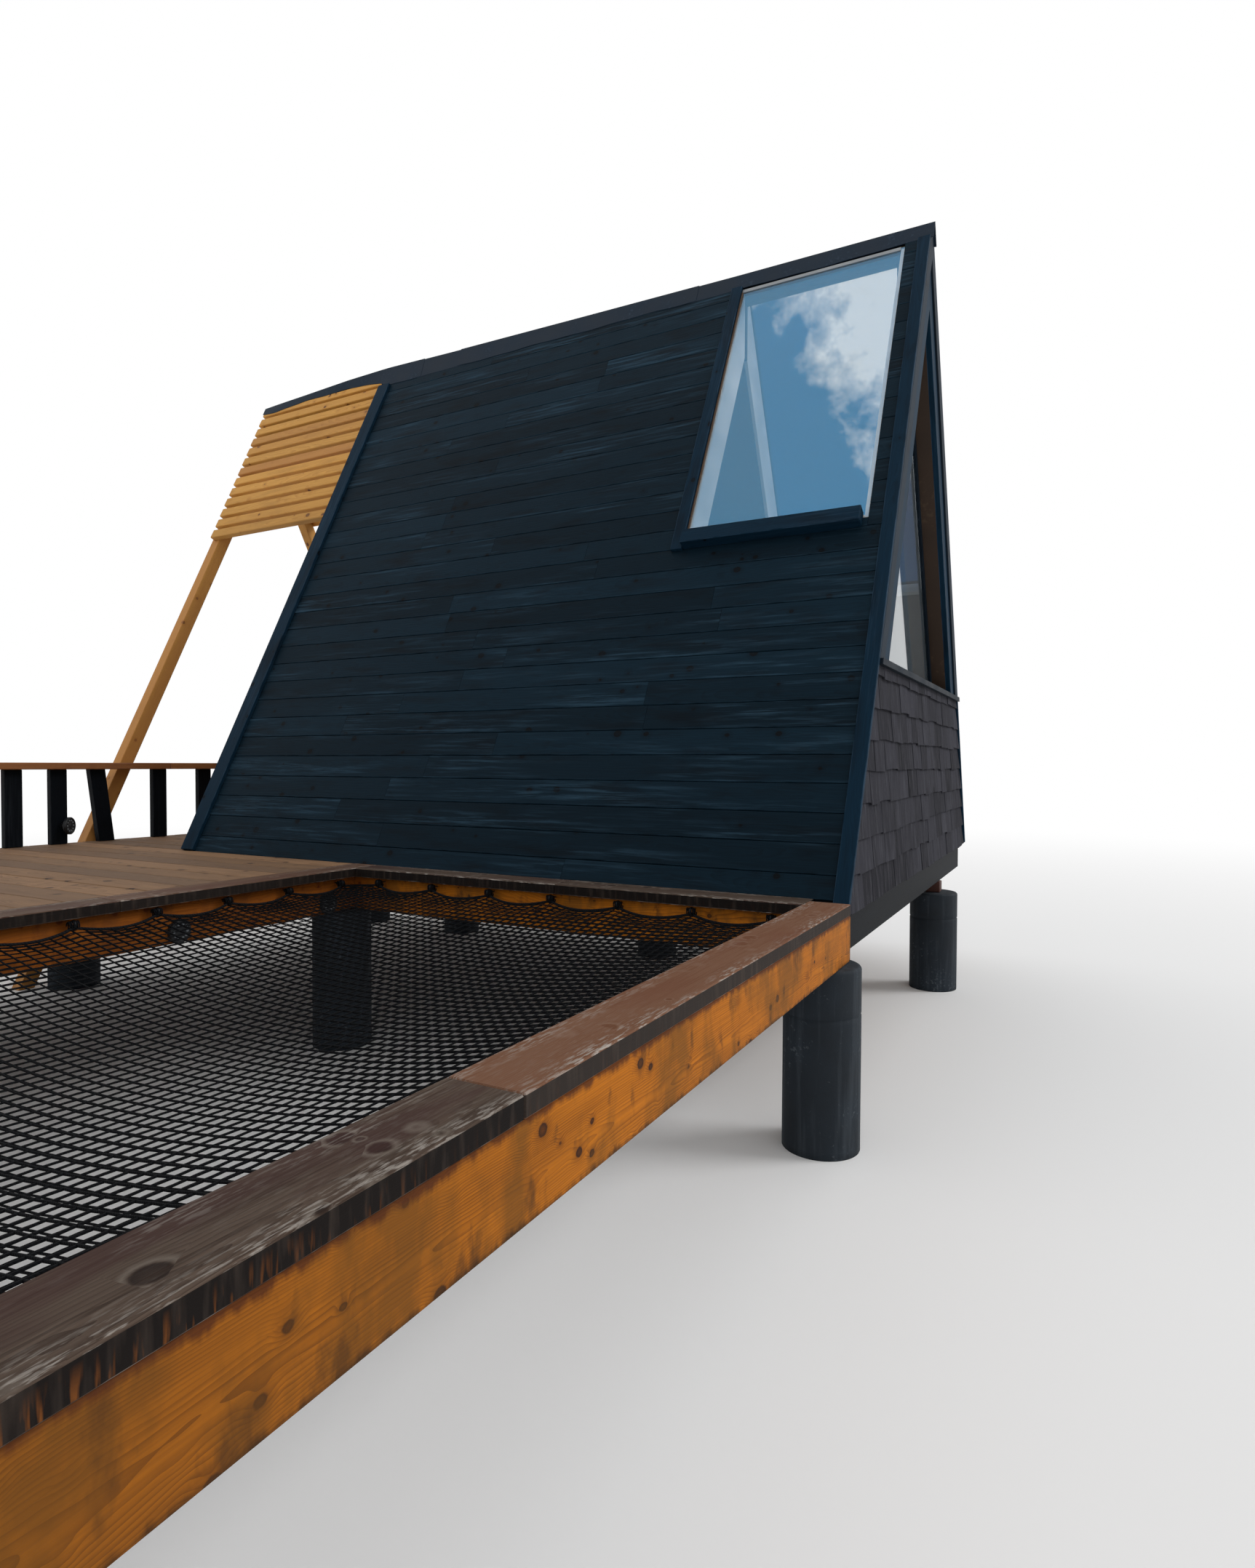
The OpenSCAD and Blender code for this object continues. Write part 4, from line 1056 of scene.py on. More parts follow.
# %% Cutting to the slopes
def clip(points, room):
    """Keeps the part of an outline where `room` is not negative."""
    kept = []
    for p, q in zip(points, points[1:] + points[:1]):
        a, b = room(p), room(q)
        if a >= 0:
            kept.append(p)
        if (a >= 0) != (b >= 0):
            t = a / (a - b)
            kept.append((p[0] + (q[0] - p[0]) * t, p[1] + (q[1] - p[1]) * t))
    return kept


def within_slopes(points, depth=0.001):
    for side in (-1, 1):
        points = clip(points, lambda p: -side * p[0] - y_at(depth, p[1]))
    return points


print("cutter ready")

# %% [markdown]
# The shingles on the gable are split cedar with ragged lower ends and uneven widths. Each
# course covers the heads of the one below, and 120 mm of it shows. A shingle is a thin wedge,
# cut to fit between the slopes, that leans out a little at its lower end. A backing board
# closes the wall behind them.

# %% Gable shingles
EXPOSURE, BUTT_T, HEAD_T = 0.120, 0.010, 0.004
board_low, board_high = SKIN_BOTTOM, SILL_Z - 0.025
skin = new_pile()
wall = [(-9, board_low), (9, board_low), (9, board_high), (-9, board_high)]
prism(skin, level, within_slopes(wall, 0.002), -SHINGLE_T, -0.0215, along=1)


def shingle(y, width, z0, z1, drop):
    tilt = rng.uniform(-0.004, 0.004)
    low_a, low_b = z0 + drop + max(tilt, 0), z0 + drop + max(-tilt, 0)
    mid = (low_a + low_b) / 2 + rng.uniform(0, 0.004)
    left, right = y + 0.001, y + width - 0.001
    outline = within_slopes([(left, low_a), (y + width * 0.5, mid), (right, low_b), (right, z1), (left, z1)])
    if len(outline) < 3:
        return
    lift = rng.uniform(0.0, 0.0035)
    front, back = [], []
    for py, pz in outline:
        t = min(1.0, (pz - z0) / (EXPOSURE * 1.6))
        face = -0.0057 + lift - 0.0155 * t
        front.append((face, py, pz))
        back.append((max(face - BUTT_T - (HEAD_T - BUTT_T) * t, -0.0212), py, pz))
    put_in(skin, level, front + back, drum_faces(len(outline)), along=2)


for course in range(int((board_high - board_low) / EXPOSURE) + 1):
    z0 = board_low + course * EXPOSURE
    z1 = min(z0 + EXPOSURE * 1.6, board_high)
    y = y_at(0, z0) - rng.uniform(0.0, 0.1)
    while z1 - z0 > 0.02 and y < -y_at(0, z0):
        width = rng.uniform(0.12, 0.27)
        shingle(y, width, z0, z1, rng.uniform(0.0, 0.012 if course else 0.006))
        y += width
make(skin, "gable_cedar_shingles", shingle_wood, ["gable_shingles"])

# %% [markdown]
# The deck and the net bay are ordinary framing: rims and joists of 38 mm, and beams of 89 mm
# round the net. Joists and beams are boards between two corners in the level frame, and
# `framed` takes those corners without their height. A long beam is made of two lengths that
# meet over a pier.

# %% Deck frame and beams
RIM_T, JOIST_EVERY = 0.038, 0.400
BAY_GIRDER = BAY_BACK - BEAM_T
FLOOR_FAR = -y_at(SIDING_T, JOIST_TOP)
CAP_END = -HALF_BASE - 0.049


def framed(pile, low, high, along, top=BEAM_TOP, edge=0.002):
    """A rim, joist or beam from the underside of the beams up to `top`."""
    board(pile, level, (*low, BEAM_BOTTOM), (*high, top), along, edge)


frame_wood = new_pile()
framed(frame_wood, (DECK_LEFT, BAY_FRONT), (DECK_LEFT + RIM_T, FLOOR_FAR), 1)
framed(frame_wood, (DECK_LEFT + RIM_T, BAY_FRONT), (BAY_LEFT, BAY_FRONT + RIM_T), 0)
framed(frame_wood, (DECK_LEFT + RIM_T, FLOOR_FAR - RIM_T), (REAR_X, FLOOR_FAR), 0)
for k in range(6):
    x = DECK_LEFT + 0.090 + JOIST_EVERY * k
    framed(frame_wood, (x, BAY_FRONT + RIM_T), (x + RIM_T, BAY_GIRDER), 1)
    if k < 2:
        framed(frame_wood, (x, BAY_BACK), (x + RIM_T, FLOOR_FAR - RIM_T), 1)
make(frame_wood, "deck_joists", fir_beam, ["deck_frame"])

girder = new_pile()
joined(girder, level, (DECK_LEFT + RIM_T, BAY_GIRDER, BEAM_BOTTOM),
       (BAY_RIGHT - BEAM_T, BAY_BACK, BEAM_TOP), 0, [-2.2], 0.003)
make(girder, "near_girder_beam", fir_beam, ["near_girder"])

beams = new_pile()
framed(beams, (BAY_RIGHT - BEAM_T, BAY_FRONT), (BAY_RIGHT, CAP_END), 1, edge=0.003)
framed(beams, (BAY_LEFT, BAY_FRONT), (BAY_LEFT + BEAM_T, BAY_GIRDER), 1, edge=0.003)
framed(beams, (BAY_LEFT + BEAM_T, BAY_FRONT), (BAY_RIGHT - BEAM_T, BAY_FRONT + BEAM_T), 0, edge=0.003)
make(beams, "net_bay_beams", fir_beam, ["net_beams"])

# %% [markdown]
# A cap board lies flat on each beam, 140 mm wide, so it stands over the net by 51 mm and hides
# the eyes. The long caps are made of two boards that meet in an open butt joint.

# %% Cap boards
caps = new_pile()
for left, right, back, cut, tones in ((NET_RIGHT, BAY_RIGHT, CAP_END, -3.41, (0.3, 0.9)),
                                      (BAY_LEFT, NET_LEFT, BAY_BACK, -2.67, (0.5, 0.6))):
    joined(caps, level, (left, BAY_FRONT, BEAM_TOP), (right, back, DECK), 1, [cut], 0.003, tones)
board(caps, level, (NET_LEFT, BAY_FRONT, BEAM_TOP), (NET_RIGHT, NET_FRONT, DECK), 0, 0.003)
joined(caps, level, (NET_LEFT, NET_BACK, BEAM_TOP), (NET_RIGHT, BAY_BACK, DECK), 0, [-1.1], 0.003)
make(caps, "net_bay_caps", worn_cap, ["net_caps"])

# %% [markdown]
# Under the cabin's floor are rims, joists and a girder over the far piers, all painted black.
# The joists stop just under the tops of the rims, and the girder lies just inside both, so that
# no two faces share a plane.

# %% Floor frame
GABLE_X = -SHINGLE_T
floor_rims = new_pile()
for y in (BAY_BACK, FLOOR_FAR - RIM_T):
    framed(floor_rims, (REAR_X, y), (GABLE_X, y + RIM_T), 0, JOIST_TOP)
for x in (REAR_X, GABLE_X - RIM_T):
    framed(floor_rims, (x, BAY_BACK + RIM_T), (x + RIM_T, FLOOR_FAR - RIM_T), 1, JOIST_TOP)
for k in range(1, 8):
    x = REAR_X + JOIST_EVERY * k
    framed(floor_rims, (x, BAY_BACK + RIM_T), (x + RIM_T, FLOOR_FAR - RIM_T), 1, JOIST_TOP - 0.0005)
board(floor_rims, level, (REAR_X + RIM_T, FAR_PIER_Y - BEAM_T / 2, BEAM_BOTTOM + 0.0005),
      (GABLE_X - RIM_T, FAR_PIER_Y + BEAM_T / 2, JOIST_TOP - 0.001), 0)
make(floor_rims, "floor_joists", black_wood, ["floor_frame"])

# %% [markdown]
# The deck outside is 138 mm boards with 5 mm gaps for rain. In front of the cabin's line they
# end at the net bay, and beside the cabin they end at its rear. The floor inside is 90 mm boards,
# laid close and each made of two lengths.

# %% Deck and floor boards
DECK_BOARD, DECK_GAP, FLOOR_BOARD = 0.138, 0.005, 0.090
planks, y = new_pile(), BAY_FRONT
while y < FLOOR_FAR - 0.02:
    top = min(y + DECK_BOARD, FLOOR_FAR)
    for a, b, right in ((y, min(top, BAY_BACK), BAY_LEFT), (max(y, BAY_BACK), top, REAR_X)):
        if b - a > 0.012:
            worn_by = rng.uniform(0, 0.0015)
            board(planks, level, (DECK_LEFT, a, BEAM_TOP), (right - 0.0005, b, DECK - worn_by), 0, 0.003)
    y += DECK_BOARD + DECK_GAP
make(planks, "deck_planks", deck_pine, ["deck_boards"])

indoor, y, wall_y = new_pile(), y_at(SIDING_T, FLOOR_TOP), -y_at(SIDING_T, FLOOR_TOP)
while y < wall_y - 0.01:
    joined(indoor, level, (REAR_X, y + 0.0005, JOIST_TOP), (GABLE_X, min(y + FLOOR_BOARD, wall_y), FLOOR_TOP),
           0, [REAR_X + rng.uniform(0.8, 2.6)], 0.001)
    y += FLOOR_BOARD
make(indoor, "floor_planks", floor_pine, ["floor_boards"])

# %% [markdown]
# The porch roof is a row of slats on each side, nailed to leaning legs at the open end and to
# short rafters against the cabin. The slats get eased edges, small differences in length and
# a little twist in height, as cut and nailed by hand.

# %% Slats
SLAT_W, SLAT_T, SLAT_PITCH, LEG = 0.066, 0.038, 0.093, 0.076
SLAT_S0 = RIDGE_S - 0.100 - 0.006 - 11 * SLAT_PITCH - SLAT_W + 0.012


def slat_row(place, name, node, count, drop):
    pile = new_pile()
    for i in range(count):
        up = SLAT_S0 + (12 - i) * SLAT_PITCH - drop
        x0 = PORCH_X + 0.006 * i + rng.uniform(0, 0.004)
        high = min(up + SLAT_W, RIDGE_S - 0.020)
        sunk = rng.uniform(0, 0.0015)
        board(pile, place, (x0, up, -SLAT_T), (REAR_X - 0.0005, high, -sunk), 0, 0.004)
    return make(pile, name, new_pine, [node])


slat_row(near_side, "near_porch_slats", "near_slats", 13, 0.0)
slat_row(far_side, "far_porch_slats", "far_slats", 9, 0.045)

# %% [markdown]
# A porch leg is one long timber, 76 mm square, in the plane of the slats. It leans, so its foot
# stands nearer the cabin than its head, and its ends are cut level and upright. It is written
# as eight points, and a Bevel modifier rounds its edges.

# %% Legs and rafters
LEG_LEAN = 0.0456


def leg(place, name, node):
    top_y = -RIDGE_T / 2
    corners = [(y_at(SLAT_T, 0), 0), (y_at(SLAT_T + LEG, 0), 0),
               (top_y, z_at(SLAT_T + LEG, top_y)), (top_y, z_at(SLAT_T, top_y))]
    pile, points = new_pile(), []
    for out in (0, LEG):
        for y, z in corners:
            points.append((PORCH_X + (RIDGE_Z - z) * LEG_LEAN + out, *in_side(y, z)))
    put_in(pile, place, points, drum_faces(len(corners)), along=1)
    piece = make(pile, name, new_pine, [node])
    ease = piece.modifiers.new("eased", "BEVEL")
    ease.width, ease.segments = 0.004, 2


leg(near_side, "near_porch_leg", "near_leg")
leg(far_side, "far_porch_leg", "far_leg")
rafters, RAFTER_T = new_pile(), 0.038
section = layer(SLAT_T, SLAT_T + LEG, DECK + SLAT_S0 * math.sin(SLOPE), -RIDGE_T / 2)
for place in (near_side, far_side):
    prism(rafters, place, section, REAR_X - RAFTER_T, REAR_X, along=1)
make(rafters, "porch_rafter_boards", new_pine, ["porch_rafters"])

# %% [markdown]
# The railing is a flat cap on upright black boards set 285 mm apart. Three boards have slipped
# from their marks and one of them leans, which gives the row its hand made look.

# %% Railing
RAIL_H, RAIL_T, BALUSTER_W, BALUSTER_T = 0.460, 0.038, 0.089, 0.038
FIRST, EVERY = BAY_FRONT + 0.050, 0.285
SLIP = {11: -0.053, 12: -0.072, 13: -0.025}
LEANING, LEAN = 12, math.tan(math.radians(7))
x0, x1, top = RAIL_X - BALUSTER_T / 2, RAIL_X + BALUSTER_T / 2, RAIL_H - RAIL_T
posts = new_pile()
for i in range(int((FLOOR_FAR - 0.050 - FIRST) / EVERY) + 1):
    y = FIRST + i * EVERY + SLIP.get(i, 0.0)
    a, b = y - BALUSTER_W / 2, y + BALUSTER_W / 2
    if i == LEANING:
        outline = [(a, DECK), (b, DECK), (b - top * LEAN, DECK + top), (a - top * LEAN, DECK + top)]
        prism(posts, level, outline, x0, x1, along=2)
    else:
        board(posts, level, (x0, a, DECK), (x1, b, DECK + top), 2, 0.003)
make(posts, "rail_balusters", black_wood, ["balusters"])

rail = new_pile()
joined(rail, level, (RAIL_X - CAP_W / 2, BAY_FRONT, DECK + RAIL_H - RAIL_T),
       (RAIL_X + CAP_W / 2, FLOOR_FAR, DECK + RAIL_H), 1, [-3.6, -2.30, -1.0], 0.004)
make(rail, "rail_cap_boards", rail_pine, ["rail_cap"])

# %% [markdown]
# The gable frame, the jambs of the skylights, the panels inside the walls and the door frame
# keep the solid model's own shapes, because those are right as they are. Each gets a material
# that reads the object's own metres, and those whose edges show also get a Bevel modifier for
# eased edges.

# %% Pieces that keep their solid shape
def keep(node, material, edge=0.0):
    """Dresses a node of the solid model; a bevel is added where its edges show."""
    piece = frame["nodes"][node]
    piece.data.materials.clear()
    piece.data.materials.append(material)
    if edge:
        merge = piece.modifiers.new("joined", "WELD")
        merge.merge_threshold = 0.0001
        ease = piece.modifiers.new("eased", "BEVEL")
        ease.width, ease.segments, ease.limit_method = edge, 2, "ANGLE"
        ease.angle_limit = math.radians(40)


for node in ("near_panel", "far_panel", "gable_wall"):
    keep(node, framing)
for node in ("near_lining", "far_lining"):
    keep(node, brown_lining)
for node in ("gable_frame", "transom_frame", "gable_sill"):
    keep(node, dark_paint, 0.002)
for node in ("gable_glass", "transom_glass"):
    keep(node, plain_glass)
keep("ridge_board", dark_paint)
keep("skylight_liners", white_jamb, 0.0015)
keep("door_frame", oiled_frame, 0.002)
print("kept nodes dressed")

# %% [markdown]
# The rear wall under the porch stands on both sides of the door. Outside it has upright boards
# of 118 mm under the same stain as the siding, cut to the slope. Inside it is one stained
# panel. Both are outlines, sawn to the slope by the cutter and drawn out along the ridge.

# %% Rear wall boards
REAR_WALL, REAR_WALL_T, REAR_BOARD = REAR_X + 0.120, 0.114, 0.118
DOOR_W, DOOR_H, JAMB = 0.740, 1.740, 0.030
DOOR_HALF = DOOR_W / 2 + JAMB
HEAD_Z = FLOOR_TOP + DOOR_H + JAMB


def wall_outline(a, b, depth):
    """The wall between two places across it, from the floor to the door's head."""
    return within_slopes([(a, FLOOR_TOP), (b, FLOOR_TOP), (b, HEAD_Z), (a, HEAD_Z)], depth)


clad_wall, inner_wall = new_pile(), new_pile()
for side in (-1, 1):
    y = DOOR_HALF
    while y < 1.4:
        outline = wall_outline(side * (y + 0.0005), side * (y + 0.1175), WALL_T + 0.0005)
        if len(outline) > 2:
            face = REAR_WALL + SIDING_T - rng.uniform(0, 0.0008)
            prism(clad_wall, level, outline, REAR_WALL, face, along=2)
        y += REAR_BOARD
    outline = wall_outline(side * DOOR_HALF, side * 1.5, WALL_T)
    prism(inner_wall, level, outline, REAR_WALL + 0.021, REAR_WALL + REAR_WALL_T, along=2)
make(clad_wall, "rear_wall_boards", stained_siding, ["rear_walls"])
make(inner_wall, "rear_wall_panels", black_lining, ["rear_walls"])

# %% [markdown]
# The door is oiled pine: seven upright boards outside, and a frame of two stiles and three
# ledges inside that holds them. The porch face has a steel lever, which is a bent bar with a
# round plate behind it. `rod` makes such bars, and all the rope and net cords below: a small
# ring of points is carried along a path and joined up.

# %% Rods and cords
UP = Vector((0, 0, 1))


def close_rings(faces, start, count, sides):
    """Joins each ring of points to the next one, and closes both ends."""
    for a in range(start, start + (count - 1) * sides, sides):
        b = a + sides
        faces += [[a + k, a + (k + 1) % sides, b + (k + 1) % sides, b + k] for k in range(sides)]
    faces.append([start + k for k in range(sides)][::-1])
    faces.append([start + (count - 1) * sides + k for k in range(sides)])


def rod(store, path, radius, sides=4, upright=UP):
    """Adds a thin round bar along a list of points. No stretch of it runs along `upright`."""
    points, faces = store
    start = len(points)
    for i, p in enumerate(path):
        ahead = (path[min(i + 1, len(path) - 1)] - path[max(i - 1, 0)]).normalized()
        flat = ahead.cross(upright).normalized()
        up = flat.cross(ahead)
        for k in range(sides):
            a = 2 * math.pi * (k + 0.5) / sides
            points.append(p + flat * math.cos(a) * radius + up * math.sin(a) * radius)
    close_rings(faces, start, len(path), sides)


def from_store(store, name, material, nodes=()):
    mesh = bpy.data.meshes.new(name)
    mesh.from_pydata(store[0], [], store[1])
    mesh.polygons.foreach_set("use_smooth", [len(face) == 4 for face in store[1]])
    return finish_piece(mesh, name, material, nodes)


def round_about(axis, k, count):
    """The k-th of `count` directions at right angles to an axis."""
    across = axis.cross(UP).normalized()
    a = 2 * math.pi * k / count
    return across * math.cos(a) + across.cross(axis) * math.sin(a)


def spin(store, centre, axis, outline, sides=32):
    """Adds a turned disc: (radius, height) points round any level axis."""
    points, faces = store
    start = len(points)
    for radius, height in outline:
        for k in range(sides):
            points.append(centre + axis * height + round_about(axis, k, sides) * radius)
    close_rings(faces, start, len(outline), sides)


print("rods and discs ready")

# %% [markdown]
# The door's boards are 104 mm wide with a V groove between them, which the cut edges of two
# neighbours make. The lever comes out of its plate, turns, and runs level for 110 mm.

# %% Door and lever
door_x, gap = REAR_WALL + 0.020, 0.003
low_y, high_y, door_top = -DOOR_W / 2 + gap, DOOR_W / 2 - gap, HEAD_Z - JAMB - gap
BOARDS, STILE, LEDGE = 7, 0.110, 0.140
inner, back = door_x + 0.0215, door_x + 0.044
leaf = new_pile()
for k in range(BOARDS):
    a, b = (low_y + (high_y - low_y) * (k + j) / BOARDS for j in (0, 1))
    board(leaf, level, (door_x, a + 0.0002, FLOOR_TOP), (door_x + 0.021, b - 0.0002, door_top), 2, 0.003)
for a, b in ((low_y, low_y + STILE), (high_y - STILE, high_y)):
    board(leaf, level, (inner, a, FLOOR_TOP), (back, b, door_top), 2)
for z in (FLOOR_TOP, FLOOR_TOP + 0.80, door_top - LEDGE):
    board(leaf, level, (inner, low_y + STILE + 0.0005, z), (back, high_y - STILE - 0.0005, z + LEDGE), 1)
make(leaf, "boarded_door", door_pine, ["door"])

lever_y, lever_z = DOOR_W / 2 - 0.065, FLOOR_TOP + 0.950
handle = ([], [])
plate = [(0.025, -0.0005), (0.025, 0.005), (0.0225, 0.0075), (0.012, 0.008), (0.010, 0.010), (0.009, 0.012)]
spin(handle, level(door_x, lever_y, lever_z), Vector((-1, 0, 0)), plate)
bend = [(0.008, 0), (0.024, 0), (0.032, -0.002), (0.038, -0.007), (0.040, -0.014),
        (0.040, -0.030), (0.040, -0.070), (0.040, -0.106), (0.039, -0.109)]
rod(handle, [level(door_x - out, lever_y + along, lever_z) for out, along in bend], 0.0085, 12)
from_store(handle, "door_lever", bright_steel, ["door"])

# %% [markdown]
# Each skylight is one pane of float glass with ground edges that catch the light. A strip of
# aluminium holds its top under the flashing, and a thin brown bead closes the gap beside the
# casing. Those two are small trim that only this scene has.

# %% Skylight panes, strips and beads
GLASS_TOP = GLASS_UP + GLASS_LEN
for place, name, material in ((near_side, "near_skylight_pane", blue_reflection_glass),
                              (far_side, "far_skylight_pane", sky_reflection_glass)):
    pane = new_pile()
    board(pane, place, (SKY_X[0], SKY_UP, -0.012), (SKY_X[1], GLASS_TOP + REBATE, -0.002), 0, 0.001)
    make(pane, name, material, ["skylight_glass"])

strips, beads = new_pile(), new_pile()
for place in (near_side, far_side):
    board(strips, place, (GLASS_X0 - 0.001, GLASS_TOP - 0.004, -0.0015),
          (GLASS_X1 + 0.001, GLASS_TOP + 0.018, 0.003), 0, 0.001)
    board(beads, place, (GLASS_X0 - 0.0015, GLASS_UP + 0.002, -0.0015),
          (GLASS_X0 + 0.006, GLASS_TOP - 0.006, 0.007), 1, 0.0015)
make(strips, "skylight_top_strips", mill_strip, ())
make(beads, "skylight_side_beads", timber_bead, ())

# %% [markdown]
# The lamps are black moulded discs with a ring of ten small clear lenses. Two hang under the cap
# of the net bay, and one stands on a short arm at the foot of the railing. The body is turned,
# with a raised rim and a sunk face, and each lens is a small turned dome.

# %% Deck lamps
bodies, lenses = ([], []), ([], [])
LAMP_T, LENSES, HUNG, STOOD = 0.022, 10, 0.084, 0.098
FORWARD = Vector((1, 0, 0))


def disc_lamp(centre, axis, size):
    r = size / 2
    outline = [(r - 0.004, 0), (r, 0.004), (r, LAMP_T - 0.004), (r - 0.003, LAMP_T - 0.0005),
               (r - 0.007, LAMP_T), (r - 0.010, LAMP_T - 0.003), (r - 0.014, LAMP_T - 0.005),
               (0.010, LAMP_T - 0.005), (0.006, LAMP_T - 0.003)]
    spin(bodies, centre, axis, outline)
    for k in range(LENSES):
        spot = centre + axis * (LAMP_T - 0.0055) + round_about(axis, k, LENSES) * (r * 0.62)
        spin(lenses, spot, axis, [(0.0058, 0), (0.0055, 0.002), (0.004, 0.004), (0.0015, 0.005)], 12)


for y in (-2.432, -1.742):
    disc_lamp(level(BAY_LEFT + BEAM_T, y, BEAM_BOTTOM + HUNG / 2 + 0.002), FORWARD, HUNG)
arm_y, lamp_z = FIRST + 11 * EVERY + SLIP[11] + 0.020, DECK + 0.103
arm = [(0.015, 0), (0.015, 0.018), (0.012, 0.024)]
spin(bodies, level(RAIL_X + BALUSTER_T / 2, arm_y, lamp_z), FORWARD, arm, 20)
turn = Vector((math.cos(math.radians(32)), math.sin(math.radians(32)), 0))
disc_lamp(level(RAIL_X + 0.046, -1.600, lamp_z) - turn * LAMP_T / 2, turn, STOOD)
from_store(bodies, "deck_lamp_bodies", lamp_body, ["deck_lights"])
from_store(lenses, "deck_lamp_lenses", lamp_bead, ["deck_lights"])

# %% [markdown]
# The net is knotless black cord in meshes of about 34 by 38 mm, hung in two layers. A net could
# be a grid with a Wireframe modifier, but then every crossing is a flat web. Here each cord is
# its own rod, which follows the sagging surface and passes over and under its neighbours. At
# the edge the net is drawn out to the screw eyes and hangs in scallops between them. Its edge
# hangs just under the caps, higher than in the solid model, and its middle is as low as there.

# %% The surface of the net
NET_EDGE, CORD_T, SAG, NET_DEPTH = 0.030, 0.012, 0.090, 0.136
NET_X = (BAY_LEFT + BEAM_T + NET_EDGE, BAY_RIGHT - BEAM_T - NET_EDGE)
NET_Y = (BAY_FRONT + BEAM_T + NET_EDGE, BAY_BACK - BEAM_T - NET_EDGE)
NET_Z = BEAM_TOP - 0.070
EDGE_Z = NET_Z - CORD_T / 2 - SAG + NET_DEPTH
CORNER = (NET_X[0] + CORD_T / 2, NET_Y[0] + CORD_T / 2)
WIDE, LONG = NET_X[1] - NET_X[0] - CORD_T, NET_Y[1] - NET_Y[0] - CORD_T
CELLS = (10, 15)
EDGE_ZONE, PULL, DIP = 0.220, 0.034, 0.018


def coarse_line(k, axis):
    """Where the k-th mesh line of the solid model's coarse net lies."""
    return CORNER[axis] + (WIDE, LONG)[axis] * k / CELLS[axis]


EYES_Y = [coarse_line(CELLS[1] - (0.37 + 1.39 * n), 1) for n in range(11)]
EYES_X = [coarse_line(CELLS[0] - (0.60 + 1.45 * n), 0) for n in range(7)]


def scallop(t, eyes):
    """0 at an eye, 1 midway between two eyes, and up to a half beyond the last ones."""
    beyond = max(min(eyes) - t, t - max(eyes))
    if beyond >= 0:
        return min(beyond / 0.2, 1.0) * 0.5
    a = max(eye for eye in eyes if eye <= t)
    b = min(eye for eye in eyes if eye > t)
    u = (t - a) / (b - a)
    return 4 * u * (1 - u)


def net_point(u, v, drop=0.0):
    """A point of the net: u across the bay from 0 to 1, v along it, both at the edge cord."""
    x, y = CORNER[0] + WIDE * u, CORNER[1] + LONG * v
    left, right, front, back = (max(0, 1 - far / EDGE_ZONE) ** 2
                                for far in (u * WIDE, (1 - u) * WIDE, v * LONG, (1 - v) * LONG))
    side_y, side_x = scallop(y, EYES_Y), scallop(x, EYES_X)
    dx, dy = PULL * side_y * (left - right), PULL * side_x * (front - back)
    dip = DIP * (side_y * (left + right) + side_x * (front + back))
    z = EDGE_Z - 16 * NET_DEPTH * u * (1 - u) * v * (1 - v) - dip - drop
    return level(x + dx, y + dy, z)


print("lowest point of the net at", round(net_point(0.5, 0.5).z, 3))

# %% [markdown]
# The cords are braided polypropylene: black, dull, with fine slanting strands 3 mm apart. The
# strands are drawn a little coarser than real ones, so that they show. The fibre has a slight
# grey fuzz from the weather.

# %% Braided cord
def braided(name, code, pale_code, pitch):
    material, tree, shader = coat(name, 0.8, 0.08)
    spot = add(tree, "TexCoord", None, 3)
    strands = add(tree, "TexWave", {"Vector": spot, "bands_direction": "DIAGONAL", "Scale": WAVE / pitch,
                                    "Distortion": 1.0}, 1)
    half_tone = add(tree, "Math", {"operation": "MULTIPLY", 0: strands, 1: 0.5})
    fuzz = patches(tree, spot, (400, 400, 400), 0.5, 0.8, 0.5)
    colour = code
    for amount in (half_tone, fuzz):
        colour = add(tree, "Mix", {"data_type": "RGBA", 0: amount, 6: colour, 7: pale_code}, 2)
    relief = add(tree, "Bump", {"Height": strands, "Strength": 0.7, "Distance": 0.0008})
    tree.links.new(colour, shader.inputs["Base Color"])
    tree.links.new(relief, shader.inputs["Normal"])
    return material


net_cord = braided("black_braided_net_cord", "#07080a", "#131519", 0.003)
black_rope = braided("black_laid_edge_rope", "#0c0d0f", "#202226", 0.005)
print("cord materials ready")

# %% [markdown]
# The upper layer is of 4.6 mm cord. The lower one hangs 10 mm below it, in thinner cord, half a
# mesh along, a little aside and a little askew, so that its cords cross the upper openings in
# places and run under the upper cords in others, as in the real net.

# %% Two layers of net
MESH_X, MESH_Y = 0.034, 0.038
MESHES = (round(WIDE / MESH_X), round(LONG / MESH_Y))
WEAVE = 0.0004


def net_layer(name, radius, drop=0.0, shift=(0.0, 0.0), askew=0.0):
    """One layer of crossing cords. `shift` is in meshes, along X and along Y."""
    cords = ([], [])
    last = 0 if any(shift) else 1
    for across, along, over in ((0, 1, WEAVE), (1, 0, -WEAVE)):
        for i in range(MESHES[across] + last):
            path = []
            for j in range(MESHES[along] + 1):
                spot = [0, 0]
                spot[along] = j / MESHES[along]
                aside = (i + shift[across]) / MESHES[across] + askew * (spot[along] - 0.5)
                spot[across] = min(max(aside, 0), 1)
                path.append(net_point(*spot, drop + (over if (i + j) % 2 else -over)))
            rod(cords, path, radius)
    return from_store(cords, name, net_cord, ["net"])


net_layer("net_upper_layer", 0.0023)
net_layer("net_lower_layer", 0.0017, drop=0.010, shift=(0.12, 0.49), askew=0.006)

# %% [markdown]
# A rope 10 mm thick runs round the edge of the net, from eye to eye, and carries the scallops.

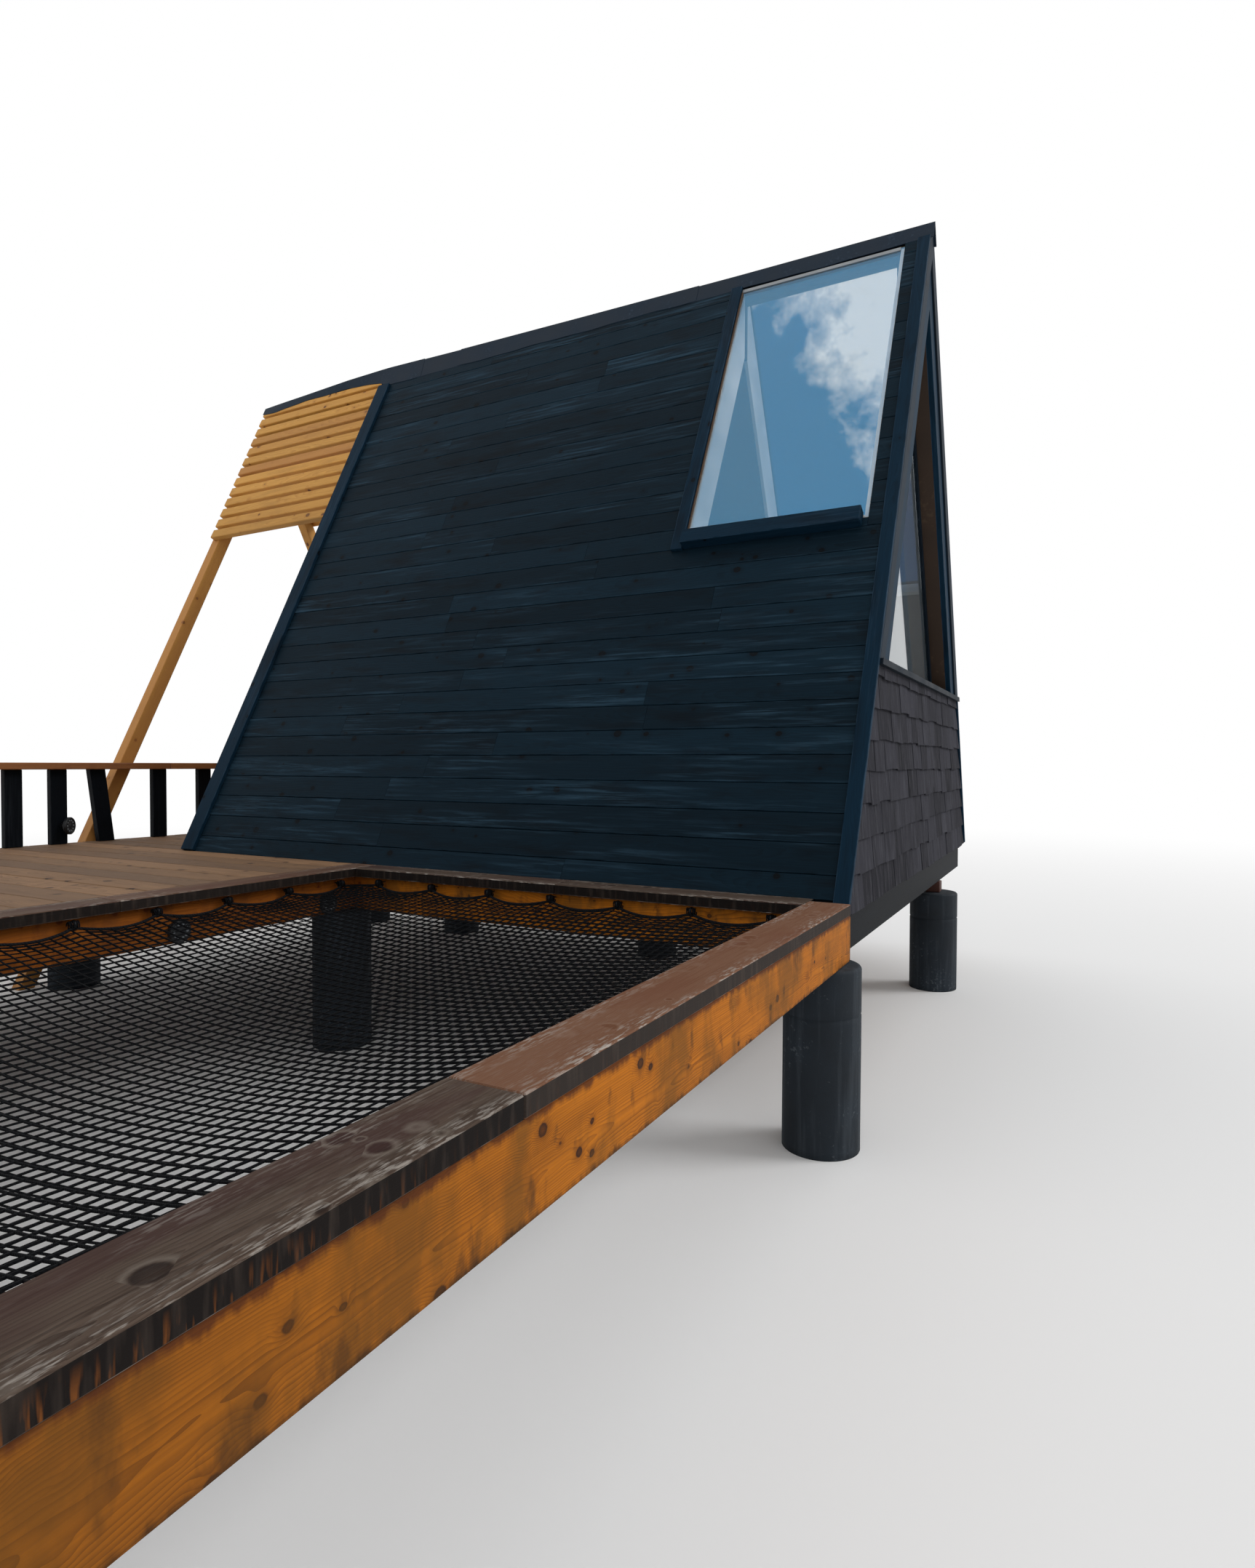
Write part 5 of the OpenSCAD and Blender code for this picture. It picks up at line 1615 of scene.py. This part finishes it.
# %% Edge rope
edge = ([], [])
EDGE_STEPS = 160
ways = [k / EDGE_STEPS for k in range(EDGE_STEPS + 1)]
for u in (0, 1):
    rod(edge, [net_point(u, t) for t in ways], 0.0050, 8)
for v in (0, 1):
    rod(edge, [net_point(t, v) for t in ways], 0.0050, 8)
from_store(edge, "net_edge_rope", black_rope, ["net"])

# %% [markdown]
# Screw eyes stand in the beams just under the cap. Below each one the edge rope is lashed to it
# with a thinner rope, which runs six times round the rope and through the ring. An eye is a
# ring of wire on a shank, and a lashing is a short spiral rod, taller than it is deep.

# %% Screw eyes and rope lashings
lashings, eyes = ([], []), ([], [])
EYE_R, EYE_WIRE, EYE_OVER = 0.0115, 0.0025, 0.011
SHANK = NET_EDGE + CORD_T / 2
TURNS, TURN_STEPS, LASH_LEN, LASH_R = 6, 12, 0.034, 0.0024


def lash(rope, along, into):
    """A screw eye over a point of the edge rope, and six turns of rope round both."""
    ring = [math.pi * k / 12 for k in range(25)]
    eye_at = rope + UP * EYE_OVER
    rod(eyes, [eye_at + (into * math.cos(a) + UP * math.sin(a)) * EYE_R for a in ring], EYE_WIRE, 8, along)
    rod(eyes, [eye_at + into * EYE_R, eye_at + into * SHANK], EYE_WIRE, 8)
    path = []
    for k in range(TURNS * TURN_STEPS + 1):
        t = k / (TURNS * TURN_STEPS)
        angle = 2 * math.pi * TURNS * t
        spread = (t - 0.5) * LASH_LEN
        reach = 0.0085 + 0.002 * math.exp(-(spread / 0.006) ** 2)
        rise = 0.007 + math.sin(angle) * reach * 1.6
        path.append(rope + along * spread + UP * rise + into * math.cos(angle) * reach)
    rod(lashings, path, LASH_R, 6)


for y in EYES_Y:
    for u in (0, 1):
        lash(net_point(u, (y - CORNER[1]) / LONG), Vector((0, 1, 0)), Vector((2 * u - 1, 0, 0)))
for x in EYES_X:
    for v in (0, 1):
        lash(net_point((x - CORNER[0]) / WIDE, v), Vector((1, 0, 0)), Vector((0, 2 * v - 1, 0)))
from_store(lashings, "net_lashings", black_rope, ["net"])
from_store(eyes, "net_screw_eyes", black_steel, ["net_hooks"])
